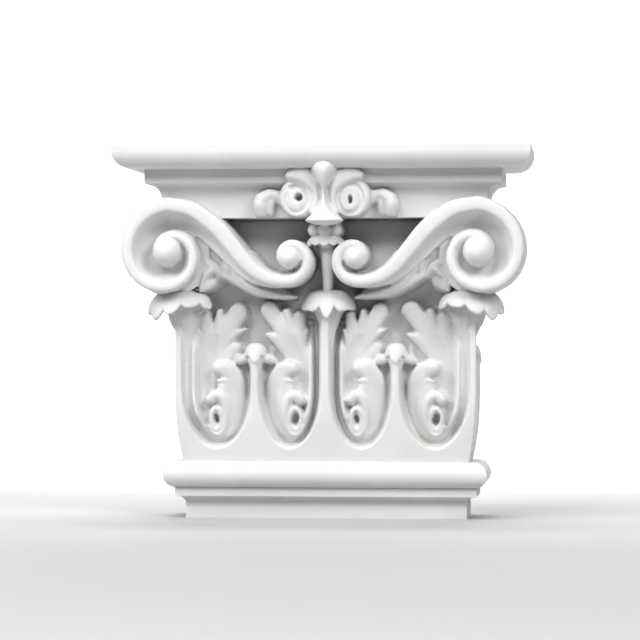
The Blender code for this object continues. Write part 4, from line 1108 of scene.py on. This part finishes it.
def white_cast():
    """Matt white primer over a moulding: faint mottling, a fine grain and uneven gloss."""
    material = bpy.data.materials.new("white_cast")
    material.use_nodes = True
    nodes = material.node_tree.nodes
    links = material.node_tree.links
    shader = nodes["Principled BSDF"]
    place = nodes.new("ShaderNodeTexCoord")
    cloud = nodes.new("ShaderNodeTexNoise")
    cloud.inputs["Scale"].default_value = 22.0
    cloud.inputs["Detail"].default_value = 4.0
    links.new(place.outputs["Object"], cloud.inputs["Vector"])
    tint = nodes.new("ShaderNodeValToRGB")
    tint.color_ramp.elements[0].position = 0.30
    tint.color_ramp.elements[0].color = (0.695, 0.695, 0.688, 1.0)
    tint.color_ramp.elements[1].position = 0.70
    tint.color_ramp.elements[1].color = (0.745, 0.745, 0.738, 1.0)
    links.new(cloud.outputs["Fac"], tint.inputs["Fac"])
    links.new(tint.outputs["Color"], shader.inputs["Base Color"])
    gloss = nodes.new("ShaderNodeMapRange")
    gloss.inputs["To Min"].default_value = 0.50
    gloss.inputs["To Max"].default_value = 0.68
    links.new(cloud.outputs["Fac"], gloss.inputs["Value"])
    links.new(gloss.outputs["Result"], shader.inputs["Roughness"])
    grain = nodes.new("ShaderNodeTexNoise")
    grain.inputs["Scale"].default_value = 700.0
    grain.inputs["Detail"].default_value = 3.0
    links.new(place.outputs["Object"], grain.inputs["Vector"])
    relief = nodes.new("ShaderNodeBump")
    relief.inputs["Strength"].default_value = 0.12
    relief.inputs["Distance"].default_value = 0.0004
    links.new(grain.outputs["Fac"], relief.inputs["Height"])
    links.new(relief.outputs["Normal"], shader.inputs["Normal"])
    return material


def plain(name, colour):
    material = bpy.data.materials.new(name)
    material.use_nodes = True
    shader = material.node_tree.nodes["Principled BSDF"]
    shader.inputs["Base Color"].default_value = colour
    shader.inputs["Roughness"].default_value = 0.9
    return material


def floor():
    """A pale sweep: a floor that curves up into a backdrop."""
    bm = bmesh.new()
    profile = [(-FLOOR_REACH, 0.0), (FLOOR_EDGE, 0.0)]
    for step in range(1, SWEEP_STEPS + 1):
        angle = math.pi / 2 * step / SWEEP_STEPS
        rise = SWEEP_RADIUS * (1.0 - math.cos(angle))
        profile.append((FLOOR_EDGE + SWEEP_RADIUS * math.sin(angle), rise))
    profile.append((FLOOR_EDGE + SWEEP_RADIUS, BACKDROP_HEIGHT))
    rows = [[bm.verts.new((x, y, z)) for y, z in profile] for x in (-FLOOR_REACH, FLOOR_REACH)]
    for i in range(len(profile) - 1):
        bm.faces.new((rows[0][i], rows[1][i], rows[1][i + 1], rows[0][i + 1]))
    obj = mesh_object("floor", bm, bpy.context.scene.collection)
    obj.data.shade_smooth()
    obj.data.materials.append(plain("floor", FLOOR_COLOUR))


def soft_light(name, spot, aim, size, power):
    data = bpy.data.lights.new(name, "AREA")
    data.size = size
    data.energy = power
    obj = bpy.data.objects.new(name, data)
    bpy.context.scene.collection.objects.link(obj)
    obj.location = spot
    obj.rotation_euler = (aim - spot).to_track_quat("-Z", "Y").to_euler()


def studio():
    """Two soft side lights, one in front and one above, and one for the backdrop."""
    scene = bpy.context.scene
    world = bpy.data.worlds.new("studio")
    world.use_nodes = True
    background = world.node_tree.nodes["Background"]
    background.inputs["Color"].default_value = (1.0, 1.0, 1.0, 1.0)
    background.inputs["Strength"].default_value = 0.0
    scene.world = world
    for name, turn, rise, power in SOFT_LIGHTS:
        away = math.radians(turn)
        up = math.radians(rise)
        spot = LIGHT_DISTANCE * Vector(
            (math.sin(away) * math.cos(up), -math.cos(away) * math.cos(up), math.sin(up))
        )
        soft_light(name, spot + LIGHT_AIM, LIGHT_AIM, LIGHT_SIZE, power)
    soft_light("backdrop", BACKDROP_SPOT, BACKDROP_AIM, BACKDROP_SIZE, BACKDROP_POWER)
    bpy.data.lights["backdrop"].spread = math.radians(BACKDROP_SPREAD)
    scene.view_settings.view_transform = "Standard"
    scene.view_settings.look = "High Contrast"


def camera():
    data = bpy.data.cameras.new("camera")
    data.lens = CAMERA_LENS
    data.sensor_width = 36.0
    data.shift_y = CAMERA_SHIFT
    obj = bpy.data.objects.new("camera", data)
    bpy.context.scene.collection.objects.link(obj)
    turn = math.radians(CAMERA_TURN)
    target = Vector((0.0, WALL_Y - SHAFT_DEPTH, CAMERA_HEIGHT))
    obj.location = target + CAMERA_DISTANCE * Vector((math.sin(turn), -math.cos(turn), 0.0))
    obj.rotation_euler = (math.pi / 2, 0.0, turn + math.radians(CAMERA_PAN))
    bpy.context.scene.camera = obj


material = white_cast()
for piece in (mouldings(), leaves(), scroll(-1), scroll(1), flower_and_stem()):
    piece.data.materials.append(material)
    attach(piece, "root")
    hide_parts("capital")
floor()
studio()
camera()
